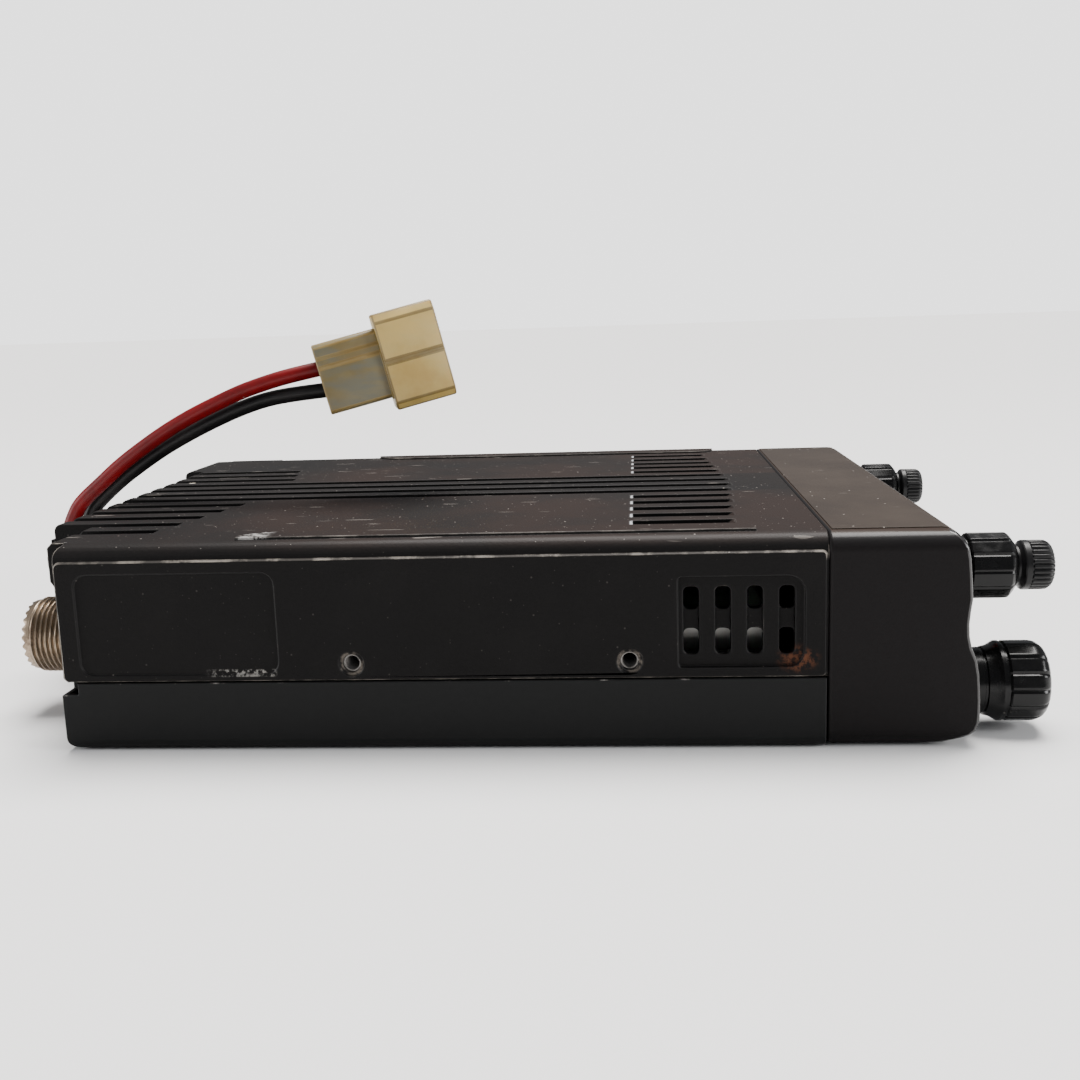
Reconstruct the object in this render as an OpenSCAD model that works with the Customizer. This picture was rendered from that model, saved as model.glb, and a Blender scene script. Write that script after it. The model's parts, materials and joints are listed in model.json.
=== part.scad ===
// Compact mobile two-way radio for a vehicle: die-cast finned chassis, folded
// steel bottom cover and a plastic front unit with knobs and keys. Millimetres.
// +Z is up and the front unit faces -Y. The origin is on the floor below the
// middle of the set, without its power lead. Inside the modules the lengths run
// from the seam between the front unit and the chassis, +Y towards the rear.

/* [Case] */
// Width over the side panels
case_w = 140; // [130:1:150]
// Height over the rails of the deck
case_h = 40; // [38:0.5:44]
// Depth of the chassis behind the seam
case_d = 142.5; // [140:0.5:150]
// Height where the casting ends and the bottom cover starts
split_z = 13.4; // [12:0.2:14]
// Wall of the casting
cast_wall = 3.5; // [3:0.1:4.5]
// Thickness of the sheet of the bottom cover
sheet = 1.0; // [0.8:0.1:1.2]
// Radius of the long upper edges
edge_r = 3.6; // [2:0.2:4]

/* [Deck] */
// Distance between two grooves
groove_pitch = 8.4; // [8:0.1:8.8]
// Width of a groove
groove_w = 4.2; // [3:0.1:5]
// Depth of the grooves of the deck
groove_depth = 2.2; // [1:0.1:2.5]
// Height of the two rails above the deck
rail_h = 0.55; // [0.3:0.05:0.8]
// How far the fins reach behind the chassis
fin_overhang = 12.5; // [8:0.5:16]

/* [Side panels] */
// Height of the raised side panels
pad_h = 0.45; // [0.2:0.05:0.8]
// Bore of the tapped M4 bracket holes
bracket_hole_r = 1.65; // [1.6:0.01:1.75]
// Distance between the two bracket holes of a side
bracket_pitch = 51.3; // [45:0.1:55]
// Distance between two vent slots
vent_pitch = 5.7; // [5:0.1:6]
// Width of a vent slot
vent_w = 2.8; // [2:0.1:3.2]

/* [Front unit] */
// How far the panel stands in front of the seam
panel_y = 24.6; // [24:0.1:25]
// Wall of the plastic shell
shell = 2.2; // [2:0.1:2.4]
// Sideways position of the tuning knobs
tune_x = 58; // [56:0.5:58.5]
// Height of the tuning knobs
tune_z = 8.75; // [8.6:0.05:9.6]
// Radius of the tuning knobs
tune_r = 7.65; // [6.5:0.05:7.8]
// Sideways position of the double knobs
dual_x = 53.4; // [53:0.1:55]
// Height of the double knobs
dual_z = 29.8; // [29:0.1:30]
// Radius of the outer ring of a double knob
ring_r = 6.4; // [5:0.1:6.6]
// Radius of the inner knob of a double knob
volume_r = 4.7; // [4:0.02:4.8]
// Travel of the keys
key_travel = 0.8; // [0.4:0.1:0.8]

/* [Connectors] */
// Radius over the thread of the antenna connector
antenna_r = 7.94; // [7.9:0.01:7.94]
// How far the antenna connector reaches behind the seam
antenna_end = 161.6; // [161:0.1:165]
// Diameter of one power wire
wire_d = 3.4; // [3:0.1:3.6]

/* [Hidden] */
$fn = 48;
e = 0.01;
half = case_w / 2;
side = half - pad_h;
deck = case_h - rail_h;
knob_end = 43.2;
seam_y = -(antenna_end - knob_end) / 2;
inner_z = deck - 4.25;
rear_roof = 29.5;
roof_step = 117;
rear_in = case_d - 4.5;
skirt_out = case_d - 0.9;
fin_end = case_d + fin_overhang;
ant = [-41, 15.5];
dc = [-10, 15.3];
jacks = [25, 40];
jack_z = 15.5;
groove_n = 14;
groove_x = [for (i = [0 : groove_n - 1]) (i - (groove_n - 1) / 2) * groove_pitch];
front_bracket_y = 35.6;
bracket_z = 16.5;
boss_in = half - 8;
posts = [[-52, 42], [52, 42], [-54, 112], [54, 112], [0, 66], [0, 108]];
board_z = 9;
board_t = 1.6;
wall_in = panel_y - shell;
fboard_y = 13.6;
keys_x = [-37, -26, -15, -4, 7, 18];
key_z = 9.4;
key_w = 8.4;
key_h = 4.6;
round_x = 42.6;
round_z = 29.8;
cable_tilt = 13.4;
cable_turn = 15;
plug_at = [-10, 104.8, 65.95];
red_route = [[-12, 144, 15.3], [-12, 148.6, 15.3], [-12, 153, 15.3],
  [-12, 158.9, 16.6], [-11.8, 163.7, 20.3], [-11.6, 166.5, 25.7], [-11.4, 166.8, 31.7],
  [-11.2, 164.9, 36.7], [-11, 162.7, 39.7], [-11, 158.2, 43.5], [-11, 153.2, 47.6],
  [-11.2, 148, 51.2], [-11.4, 141.6, 55.2], [-11.6, 135.4, 58.5], [-11.8, 129.2, 61.3],
  [-12, 123.1, 63.8], [-12, 117.2, 65.7], [-11.6, 111.4, 67.2], [-10, 102.5, 69]];
black_route = [[-8, 144, 15.3], [-8, 147.2, 15.3], [-8, 150.4, 15.3],
  [-8, 156.3, 16.6], [-7.9, 161.1, 20.3], [-7.8, 163.9, 25.7], [-7.6, 164.2, 31.7],
  [-7.5, 162.3, 36.7], [-7.5, 160.1, 39.3], [-7.6, 155.1, 43.5], [-7.8, 149.8, 47.2],
  [-8, 143.3, 51.2], [-8.4, 136.9, 54.5], [-9, 130.5, 57.4], [-9.6, 124.2, 59.9],
  [-10.2, 118, 61.8], [-10.6, 111.6, 62.9], [-10, 101.5, 63.9]];

// ---------- shared shapes ----------

module placed() translate([0, seam_y, 0]) children();

// A flat outline drawn as X and Z, standing from y0 to y1.
module along_y(y0, y1) translate([0, y1, 0]) rotate([90, 0, 0])
  linear_extrude(height = y1 - y0) children();

// A flat outline drawn as Y and Z, reaching from x0 to x1.
module along_x(x0, x1) translate([x0, 0, 0]) rotate([90, 0, 90])
  linear_extrude(height = x1 - x0) children();

module along_z(z0, z1) translate([0, 0, z0]) linear_extrude(height = z1 - z0) children();

module block(a, b) translate(a) cube(b - a);

// A round bar on an axis along Y.
module rod_y(x, z, r, y0, y1) translate([x, y1, z]) rotate([90, 0, 0])
  cylinder(r = r, h = y1 - y0);

module rod_x(y, z, r, x0, x1) translate([x0, y, z]) rotate([0, 90, 0])
  cylinder(r = r, h = x1 - x0);

function arc(cx, cy, r, a0, a1, n = 6) =
  [for (i = [0 : n]) let (a = a0 + (a1 - a0) * i / n) [cx + r * cos(a), cy + r * sin(a)]];

// Rounded rectangle as a point list; each corner has its own radius.
function rounded(x0, y0, x1, y1, bl, br, tr, tl) = concat(
  arc(x0 + bl, y0 + bl, bl, 180, 270), arc(x1 - br, y0 + br, br, 270, 360),
  arc(x1 - tr, y1 - tr, tr, 0, 90), arc(x0 + tl, y1 - tl, tl, 90, 180));

module rect(x0, y0, x1, y1, r = 0.5) polygon(rounded(x0, y0, x1, y1, r, r, r, r));

// Where the deck ends and the fin gaps start; it runs diagonally at the sides.
function deck_end(x) = abs(x) < 17 ? 120.5 : 120.5 + (abs(x) - 17) * 0.2;

// ---------- die-cast chassis ----------

module casting_outline() polygon(concat(
  [[-side, split_z], [side, split_z]],
  arc(side - edge_r, deck - edge_r, edge_r, 0, 90, 8),
  arc(-side + edge_r, deck - edge_r, edge_r, 90, 180, 8)));

module overhang(x0, x1, y1) along_x(x0, x1) polygon(concat(
  [[rear_in, 25.5], [y1 - 7, 25.5]], arc(y1 - 6, 31.5, 6, -80, 0),
  [[y1, 36.3], [y1 - 0.9, 36.3]], arc(y1 - 2.4, deck - 1.5, 1.5, 0, 90, 4),
  [[rear_in, deck]]));

module side_pad() along_x(side - 0.6, half)
  polygon(rounded(0.5, split_z, case_d - 0.3, 36.3, 0.8, 1.1, 1.2, 0.8));

module rail() along_z(deck - 0.5, case_h) polygon([
  [60, 16.5], [60.6, 14.2], [62.4, 12.9], [66.3, 12.4], [66.3, 108.5],
  [63.6, 107.6], [61.2, 104.8], [60, 101]]);

module vent_slots(x0, x1) for (i = [0 : 3]) {
  y = 24.4 - i * vent_pitch;
  along_x(x0, x1) rect(y - vent_w / 2, 17.5, y + vent_w / 2, 22.1, 1);
  along_x(x0, x1) rect(y - vent_w / 2, 25.7, y + vent_w / 2, 30, 1);
}

module vent_cut() {
  along_x(half - 0.9, half + 1) polygon(rounded(4.2, 15.2, 26.8, 32, 3, 0.8, 0.8, 3));
  vent_slots(half - cast_wall - 1, half + 1);
  for (i = [0 : 3]) {
    y = 24.4 - i * vent_pitch;
    block([half - 1.7, y - vent_w / 2, 21], [half, y + vent_w / 2, 26.8]);
  }
}

module groove(x) {
  middle = abs(x) < 14;
  y1 = middle ? deck_end(x) + 3 : 35.3;
  along_x(x - groove_w / 2, x + groove_w / 2) polygon([
    [12 + abs(x) * 0.06, deck + e], [15.5 + abs(x) * 0.06, deck - groove_depth],
    [y1 - 1.8, deck - groove_depth], [y1, deck + e], [y1, deck + 3], [12, deck + 3]]);
}

module fin_gap(x) {
  y0 = deck_end(x);
  along_x(x - groove_w / 2, x + groove_w / 2) polygon([
    [y0, deck + e], [y0 + 5.5, deck - 6.2], [fin_end + 6, deck - 6.2],
    [fin_end + 6, deck + 3], [y0, deck + 3]]);
}

module chassis_casting() color([0.17, 0.16, 0.155]) placed() difference() {
  union() {
    intersection() {
      along_y(0, case_d) casting_outline();
      along_x(-half, half) polygon(concat(
        [[0, split_z], [case_d - 1, split_z]], arc(case_d - 1, split_z + 1, 1, -90, 0),
        arc(case_d - 2.2, deck - 2.2, 2.2, 0, 90), [[0, deck]]));
    }
    side_pad();
    mirror([1, 0, 0]) side_pad();
    rail();
    mirror([1, 0, 0]) rail();
    // skirt of the rear wall, behind the bottom cover's own wall
    block([-64, rear_in, 3.4], [64, skirt_out, split_z + 1]);
    // fins that stand out behind the wall
    overhang(-46.5, side - 2, fin_end);
    overhang(42, side - 3.6, fin_end + 4);
    along_x(-side + 3.6, -46.4) polygon([[rear_in, 30], [case_d + 1.2, 30],
      [case_d + 2.5, 32], [case_d + 2.5, deck - 1], [case_d + 1.5, deck], [rear_in, deck]]);
  }
  // room for the boards
  difference() {
    block([-side + cast_wall - pad_h, -1, 0], [side - cast_wall + pad_h, roof_step, inner_z]);
    for (p = posts) if (p[1] < roof_step) translate([p[0], p[1], board_z + board_t])
      cylinder(r = 3, h = 40);
    for (s = [-1, 1], k = [0, 1]) rod_x(front_bracket_y + k * bracket_pitch, bracket_z, 4,
      s > 0 ? boss_in : -half, s > 0 ? half : -boss_in);
  }
  block([-side + cast_wall - pad_h, roof_step - e, 0], [side - cast_wall + pad_h, rear_in, rear_roof]);
  // tapped bracket holes
  for (s = [-1, 1], k = [0, 1]) {
    rod_x(front_bracket_y + k * bracket_pitch, bracket_z, bracket_hole_r,
      s > 0 ? boss_in - 1 : -half - 1, s > 0 ? half + 1 : -boss_in + 1);
    rod_x(front_bracket_y + k * bracket_pitch, bracket_z, 2.35,
      s > 0 ? half - 0.35 : -half - 1, s > 0 ? half + 1 : -half + 0.35);
  }
  // pilot holes of the board screws
  for (p = posts) translate([p[0], p[1], board_z]) cylinder(r = 1.25, h = 8);
  // shallow field for a type label, on the left side only
  along_x(-half - 1, -half + 0.4) rect(100.6, 14.6, 138.7, 34, 2.5);
  vent_cut();
  mirror([1, 0, 0]) vent_cut();
  for (x = groove_x) groove(x);
  for (x = groove_x) if (x < 40) fin_gap(x);
  // sound slots above the loudspeaker
  for (x = groove_x) if (abs(x) < 18) block([x - 1.1, 15.5, 30], [x + 1.1, 32.5, deck]);
  // seats and holes of the rear connectors
  rod_y(ant[0], ant[1], 10.6, skirt_out, case_d + 3);
  rod_y(ant[0], ant[1], 8.1, rear_in - 1, case_d);
  rod_y(dc[0], dc[1], 5.6, rear_in - 1, case_d + 1);
  rod_y(dc[0], dc[1], 7.3, skirt_out, case_d + 3);
  for (x = jacks) {
    rod_y(x, jack_z, 4.3, rear_in - 1, case_d + 1);
    rod_y(x, jack_z, 5.4, skirt_out, case_d + 3);
  }
}

// ---------- folded steel cover ----------

screw_spots = [[-62, 12], [62, 12], [-62, 72], [62, 72], [-62, 128], [62, 128]];

module cover_solid(g, y0) intersection() {
  along_y(y0, case_d + 0.4 - g) polygon(concat(
    arc(-half + 2, g + 2, 2 - g, 180, 270), arc(half - 2, g + 2, 2 - g, 270, 360),
    [[half - g, split_z - 0.3 + g * 5], [-half + g, split_z - 0.3 + g * 5]]));
  along_x(-half, half) polygon(concat([[y0, g]],
    arc(case_d - 2.1, g + 2.5, 2.5 - g, 270, 360),
    [[case_d + 0.4 - g, split_z + g * 5], [y0, split_z + g * 5]]));
}

module bottom_cover() color([0.13, 0.13, 0.135]) placed() difference() {
  union() {
    difference() {
      cover_solid(0, 0.3);
      cover_solid(sheet, -1);
    }
    // dimples that sink the screw heads
    for (p = screw_spots) translate([p[0], p[1], sheet - e]) cylinder(r = 4.4, h = 1.3);
    // rolled return of the front edge
    block([-66, 0.3, sheet - e], [66, 1.3, 4]);
  }
  for (p = screw_spots) {
    translate([p[0], p[1], -1]) cylinder(r = 3.5, h = 2.3);
    translate([p[0], p[1], -1]) cylinder(r = 1.6, h = 5);
  }
  // gaps in the rear wall round the connectors
  for (c = [[ant[0], ant[1], 11.2], [dc[0], dc[1], 7.8], [jacks[0], jack_z, 5.8], [jacks[1], jack_z, 5.8]])
    rod_y(c[0], c[1], c[2], case_d - 2, case_d + 3);
  // relief of the rear corners
  for (s = [-1, 1]) block([s > 0 ? half - 5 : -half - 1, case_d - 2.8, 10.9],
    [s > 0 ? half + 1 : -half + 5, case_d + 1, split_z]);
}

module pan_screw(r_head, h_head, r_shank, l) {
  difference() {
    cylinder(r = r_head, h = h_head);
    for (a = [0, 90]) rotate([0, 0, a]) translate([-r_head * 0.6, -0.35, -1])
      cube([r_head * 1.2, 0.7, 1 + h_head * 0.5]);
  }
  translate([0, 0, h_head - e]) cylinder(r = r_shank, h = l);
}

module cover_screws() color([0.12, 0.12, 0.12]) placed()
  for (p = screw_spots) translate([p[0], p[1], 0.15]) pan_screw(2.9, 1.15, 1.45, 6);

// ---------- plastic front unit ----------

front_profile = concat([[0, 0.7], [-0.7, 0], [-17, 0]],
  [[-20.6, 0.35], [-23.5, 1.3], [-25.2, 2], [-26.1, 2.8], [-26.7, 4.3], [-26.8, 5.8],
   [-26.8, 8.2], [-26.7, 10.6], [-26.5, 13.3], [-26, 16], [-25.5, 17.2], [-25, 18.4], [-24.6, 20.4],
   [-24.5, 22.6], [-24.7, 24.8], [-25, 27.1], [-24.8, 30.8], [-24.5, 34.3], [-24.1, 36.4],
   [-23.4, 37.8], [-22.4, 38.8], [-21.2, deck - 0.15], [-20, deck]],
  [[0, deck]]);

module bezel_outer() intersection() {
  along_x(-half, half) polygon(front_profile);
  along_y(-30, 0) polygon(rounded(-half, 0, half, deck, 3.2, 3.2, edge_r, edge_r));
}

module front_bezel() color([0.12, 0.12, 0.125]) placed() difference() {
  bezel_outer();
  // hollow of the shell, open to the chassis
  block([-half + shell + 0.3, -wall_in, 2], [half - shell - 0.3, 1, deck - shell]);
  // sunk control panel
  along_y(-30, -panel_y) rect(-66.5, 3.4, 66.5, 36.6, 2);
  // seat and opening of the display window
  along_y(-30, -panel_y + 1.5) rect(-38, 17.5, 38, 34.5, 1);
  block([-35.5, -30, 19.5], [35.5, -wall_in + 1, 32.5]);
  for (s = [-1, 1]) {
    rod_y(s * tune_x, tune_z, 4.8, -30, -wall_in + 1);
    rod_y(s * dual_x, dual_z, 4.4, -30, -wall_in + 1);
    rod_y(s * round_x, round_z, 2.85, -30, -wall_in + 1);
  }
  for (x = keys_x) block([x - key_w / 2 - 0.35, -30, key_z - key_h / 2 - 0.35],
    [x + key_w / 2 + 0.35, -wall_in + 1, key_z + key_h / 2 + 0.35]);
  block([32.6, -30, 4.6], [45.4, -wall_in + 1, 13.4]);
}

module top_plate() color([0.31, 0.27, 0.245]) placed()
  along_x(-66, 66) polygon([[-0.9, deck], [-20, deck], [-21.2, deck - 0.15],
    [-21.2, deck + 0.02], [-20, deck + 0.2], [-0.9, deck + 0.2]]);

module display_window() color([0.1, 0.12, 0.12]) placed()
  along_y(-panel_y - 0.15, -panel_y + 1.5) rect(-37.8, 17.7, 37.8, 34.3, 0.9);

module lcd_module() color([0.55, 0.58, 0.45]) placed() {
  block([-35, -wall_in + 0.3, 19], [35, -wall_in + 2.3, 33.5]);
  block([-36.5, -wall_in + 2.3 - e, 18.2], [36.5, -fboard_y, 34.6]);
}

module front_board() color([0.1, 0.32, 0.2]) placed() difference() {
  block([-65, -fboard_y, 3], [65, -fboard_y + 1.6, 36]);
  for (s = [-1, 1], z = [6.5, 32.5]) rod_y(s * 20, z - (z > 20 ? 16.2 : 0), 1.6, -fboard_y - 1, -fboard_y + 3);
}

module front_backplate() color([0.2, 0.2, 0.2]) placed() difference() {
  block([-66.5, -3.2, 2.2], [66.5, -1.6, 37]);
  block([-22, -4, 12], [22, 0, 24]);
}

module key_switches() color([0.75, 0.75, 0.72]) placed() {
  for (x = keys_x) {
    block([x - 2.6, -17.4, key_z - 2.3], [x + 2.6, -fboard_y, key_z + 2.3]);
    rod_y(x, key_z, 1.2, -18.6, -17.3);
  }
  for (s = [-1, 1]) {
    block([s * round_x - 2.6, -17.4, round_z - 2.6], [s * round_x + 2.6, -fboard_y, round_z + 2.6]);
    rod_y(s * round_x, round_z, 1.2, -18.6, -17.3);
  }
}

module mic_jack() color([0.15, 0.15, 0.16]) placed() difference() {
  block([31.4, -wall_in - 0.2 + 0.5, 3.4], [46.6, -fboard_y, 14.6]);
  block([33.1, -30, 5.1], [44.9, -fboard_y - 1.2, 12.2]);
  block([36.2, -30, 12], [41.8, -fboard_y - 4, 13.6]);
}

// ---------- rotary controls ----------

// Incremental encoder: square body, threaded bushing and its nut.
module encoder(s) difference() {
  union() {
    block([s * tune_x - 5.8, -21.6, tune_z - 5.6], [s * tune_x + 5.8, -fboard_y, tune_z + 5.8]);
    rod_y(s * tune_x, tune_z, 4.4, -25.6, -21.6 + e);
  }
  rod_y(s * tune_x, tune_z, 3.06, -30, -16.6);
}

module dual_pot(s) difference() {
  union() {
    block([s * dual_x - 6, -21.6, dual_z - 6], [s * dual_x + 6, -fboard_y, dual_z + 5.9]);
    rod_y(s * dual_x, dual_z, 4.0, -25.0, -21.6 + e);
  }
  rod_y(s * dual_x, dual_z, 3.06, -30, -16.6);
}

module encoder_left() color([0.7, 0.7, 0.72]) placed() encoder(-1);
module encoder_right() color([0.7, 0.7, 0.72]) placed() encoder(1);
module dual_pot_left() color([0.7, 0.7, 0.72]) placed() dual_pot(-1);
module dual_pot_right() color([0.7, 0.7, 0.72]) placed() dual_pot(1);

// Round grip with flutes from y0 (rear) to y1 (tip) and a chamfered tip.
module grip(r, y0, y1, flutes, flute_r, sink, tip) rotate([90, 0, 0]) difference() {
  translate([0, 0, -y0]) union() {
    cylinder(r = r, h = y0 - y1 - tip);
    translate([0, 0, y0 - y1 - tip]) cylinder(r1 = r, r2 = r - tip, h = tip);
  }
  for (i = [0 : flutes - 1]) rotate([0, 0, i * 360 / flutes])
    translate([r + flute_r - sink, 0, -y0 + 0.9]) cylinder(r = flute_r, h = y0 - y1 + 2, $fn = 24);
}

module tuning_knob(s) color([0.06, 0.06, 0.065]) placed() translate([s * tune_x, 0, tune_z])
  difference() {
    union() {
      rotate([90, 0, 0]) translate([0, 0, 27.3]) cylinder(r = tune_r - 0.9, h = 32.45 - 27.3 + e);
      grip(tune_r, -32.45, -41.15, 14, 0.6, 0.4, 1.1);
    }
    rod_y(0, 0, 3.02, -38, -20);
  }

module tuning_shaft(s) color([0.75, 0.75, 0.77]) placed()
  rod_y(s * tune_x, tune_z, 3.0, -38, -17);

module squelch_ring(s) color([0.06, 0.06, 0.065]) placed() translate([s * dual_x, 0, dual_z])
  difference() {
    union() {
      rotate([90, 0, 0]) translate([0, 0, 25.6]) cylinder(r = ring_r - 0.5, h = 2);
      grip(ring_r, -27.5, -36.1, 12, 0.5, 0.35, 1.3);
    }
    rod_y(0, 0, 3.02, -34, -20);
    rod_y(0, 0, 2.15, -40, -33);
  }

module squelch_sleeve(s) color([0.75, 0.75, 0.77]) placed() difference() {
  rod_y(s * dual_x, dual_z, 3.0, -34, -19.4);
  rod_y(s * dual_x, dual_z, 1.76, -40, -15);
}

module volume_knob(s) color([0.06, 0.06, 0.065]) placed() translate([s * dual_x, 0, dual_z])
  difference() {
    union() {
      rotate([90, 0, 0]) translate([0, 0, 36.4]) cylinder(r = 3.8, h = 1.1);
      grip(volume_r, -37.35, -knob_end, 28, 0.4, 0.28, 0.9);
    }
    rod_y(0, 0, 1.72, -42, -30);
  }

module volume_shaft(s) color([0.75, 0.75, 0.77]) placed()
  rod_y(s * dual_x, dual_z, 1.7, -42, -17);

module tuning_knob_left() tuning_knob(-1);
module tuning_knob_right() tuning_knob(1);
module tuning_shaft_left() tuning_shaft(-1);
module tuning_shaft_right() tuning_shaft(1);
module squelch_ring_left() squelch_ring(-1);
module squelch_ring_right() squelch_ring(1);
module squelch_sleeve_left() squelch_sleeve(-1);
module squelch_sleeve_right() squelch_sleeve(1);
module volume_knob_left() volume_knob(-1);
module volume_knob_right() volume_knob(1);
module volume_shaft_left() volume_shaft(-1);
module volume_shaft_right() volume_shaft(1);

// ---------- keys ----------

module key_cap(i) color([0.15, 0.15, 0.155]) placed() {
  x = keys_x[i];
  along_y(-panel_y - 1.9, -wall_in + 0.35 + e)
    rect(x - key_w / 2, key_z - key_h / 2, x + key_w / 2, key_z + key_h / 2, 0.7);
  block([x - key_w / 2 - 0.9, -wall_in + 0.35, key_z - key_h / 2 - 0.9],
    [x + key_w / 2 + 0.9, -wall_in + 1.15, key_z + key_h / 2 + 0.9]);
  rod_y(x, key_z, 1.4, -wall_in + 1.15 - e, -19.7);
}

module round_button(x) placed() {
  rod_y(x, round_z, 2.5, -panel_y - 1.7, -wall_in + 0.35 + e);
  rod_y(x, round_z, 3.4, -wall_in + 0.35, -wall_in + 1.15);
  rod_y(x, round_z, 1.4, -wall_in + 1.15 - e, -19.7);
}

module power_button() color([0.62, 0.16, 0.1]) round_button(-round_x);
module band_button() color([0.15, 0.15, 0.155]) round_button(round_x);
module key_1() key_cap(0);
module key_2() key_cap(1);
module key_3() key_cap(2);
module key_4() key_cap(3);
module key_5() key_cap(4);
module key_6() key_cap(5);

// ---------- electronics ----------

module main_board() color([0.1, 0.32, 0.2]) placed() difference() {
  block([-61, 6, board_z], [61, 132.5, board_z + board_t]);
  for (p = posts) translate([p[0], p[1], 0]) cylinder(r = 1.6, h = 20);
}

module board_screws() color([0.75, 0.75, 0.77]) placed()
  for (p = posts) translate([p[0], p[1], board_z - 1.6]) pan_screw(2.7, 1.6, 1.2, 7);

// Radio-frequency power block, bolted under the fins.
module power_module() color([0.2, 0.2, 0.22]) placed() {
  block([-14, 119.5, 27.5], [48, 134, rear_roof]);
  block([-11, 120.5, 20], [45, 132.5, 27.5 + e]);
}

// Shield can of thin sheet with a soldered rim, open towards the board.
module can(a, b) difference() {
  union() {
    block(a, b);
    block([a[0] - 0.5, a[1] - 0.5, a[2]], [b[0] + 0.5, b[1] + 0.5, a[2] + 1]);
  }
  block([a[0] + 0.6, a[1] + 0.6, a[2] - 1], [b[0] - 0.6, b[1] - 0.6, b[2] - 0.6]);
}

module shield_front() color([0.72, 0.72, 0.7]) placed() {
  can([-59, 10, board_z + board_t], [-27, 30, 23]);
  can([8, 56, board_z + board_t], [56, 100, 21]);
}

module shield_rear() color([0.72, 0.72, 0.7]) placed() {
  can([-59, 50, board_z + board_t], [-8, 60, 21]);
  can([-59, 62, board_z + board_t], [-8, 100, 24]);
  can([-36, 114, board_z + board_t], [-16, 131, 19]);
}

// ---------- loudspeaker ----------

spk = [0, 27];
module speaker_basket() color([0.55, 0.55, 0.56]) placed() translate([spk[0], spk[1], 0])
  rotate_extrude() polygon([[16.8, inner_z - 1.8], [20, inner_z - 1.8], [20, inner_z - 0.4],
    [16.2, inner_z - 0.4], [9.2, inner_z - 7.2], [4, inner_z - 7.2], [4, inner_z - 8], [9.6, inner_z - 8]]);

module speaker_magnet() color([0.3, 0.3, 0.31]) placed() translate([spk[0], spk[1], inner_z - 13])
  cylinder(r = 9.5, h = 5);

module speaker_cone() color([0.2, 0.18, 0.16]) placed() translate([spk[0], spk[1], 0])
  rotate_extrude() polygon([[0, inner_z - 6.8], [4.5, inner_z - 6.8], [15.4, inner_z - 0.9],
    [15.4, inner_z - 0.4], [14.6, inner_z - 0.4], [4.2, inner_z - 6.2], [0, inner_z - 5]]);

module speaker_cloth() color([0.1, 0.1, 0.1]) placed() translate([spk[0], spk[1], inner_z - 0.4])
  cylinder(r = 20, h = 0.4);

// ---------- rear connectors ----------

module antenna_shell() color([0.6, 0.5, 0.4]) placed() translate([ant[0], 0, ant[1]]) difference() {
  union() {
    rod_y(0, 0, 10.2, skirt_out, skirt_out + 2.2);
    rod_y(0, 0, antenna_r, skirt_out + 2.2 - e, antenna_end - 0.3);
    rod_y(0, 0, antenna_r - 0.7, antenna_end - 0.3 - e, antenna_end);
    rod_y(0, 0, 7.9, 134, skirt_out + e);
  }
  rod_y(0, 0, 5.8, 147, antenna_end + 1);
  rod_y(0, 0, 3.6, 130, 148);
  // locking notches of the rim
  for (i = [0 : 3]) rotate([0, i * 90 + 22.5, 0])
    block([-0.9, antenna_end - 1.6, 5], [0.9, antenna_end + 1, 9]);
}

module antenna_insulator() color([0.85, 0.83, 0.78]) placed() translate([ant[0], 0, ant[1]])
  difference() {
    union() {
      rod_y(0, 0, 5.7, 147, 158.5);
      rod_y(0, 0, 3.5, 131.4, 147 + e);
    }
    rod_y(0, 0, 2.8, 130, 170);
  }

module antenna_contact() color([0.8, 0.68, 0.4]) placed() translate([ant[0], 0, ant[1]])
  difference() {
    union() {
      rod_y(0, 0, 2.75, 131.4, 158.2);
      rod_y(0, 0, 1.2, 127.5, 131.4 + e);
    }
    rod_y(0, 0, 2.0, 146, 160);
  }

module antenna_nut() color([0.7, 0.66, 0.58]) placed() translate([ant[0], 0, ant[1]])
  difference() {
    along_y(rear_in - 3, rear_in) circle(r = 10.6, $fn = 6);
    rod_y(0, 0, 7.95, rear_in - 4, rear_in + 1);
  }

module speaker_jack(x) color([0.12, 0.12, 0.12]) placed() difference() {
  union() {
    rod_y(x, jack_z, 4.1, rear_in - 1, case_d + 1.5);
    rod_y(x, jack_z, 5.1, skirt_out, skirt_out + 1.2);
    block([x - 5, rear_in - 14, board_z + board_t], [x + 5, rear_in, jack_z + 4.4]);
  }
  rod_y(x, jack_z, 1.78, rear_in - 12, case_d + 3);
}

module speaker_jack_a() speaker_jack(jacks[0]);
module speaker_jack_b() speaker_jack(jacks[1]);

module dc_grommet() color([0.09, 0.09, 0.09]) placed() translate([dc[0], 0, dc[1]]) {
  rod_y(0, 0, 5.5, rear_in - 2, 143);
  rod_y(0, 0, 7, skirt_out, skirt_out + 2);
  rod_y(0, 0, 4.6, skirt_out + 2 - e, 145.5);
  rod_y(0, 0, 7, rear_in - 2, rear_in);
}

// ---------- power lead ----------

function unit(v) = v / norm(v);
// Smooth curve through the route's points.
function curve(p, i, t) = let (n = len(p) - 1,
    a = p[max(i - 1, 0)], b = p[i], c = p[min(i + 1, n)], d = p[min(i + 2, n)])
  0.5 * (2 * b + (c - a) * t + (2 * a - 5 * b + 4 * c - d) * t * t
    + (3 * b - a - 3 * c + d) * t * t * t);
function samples(p, m) = concat(
  [for (i = [0 : len(p) - 2], k = [0 : m - 1]) curve(p, i, k / m)], [p[len(p) - 1]]);

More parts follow.
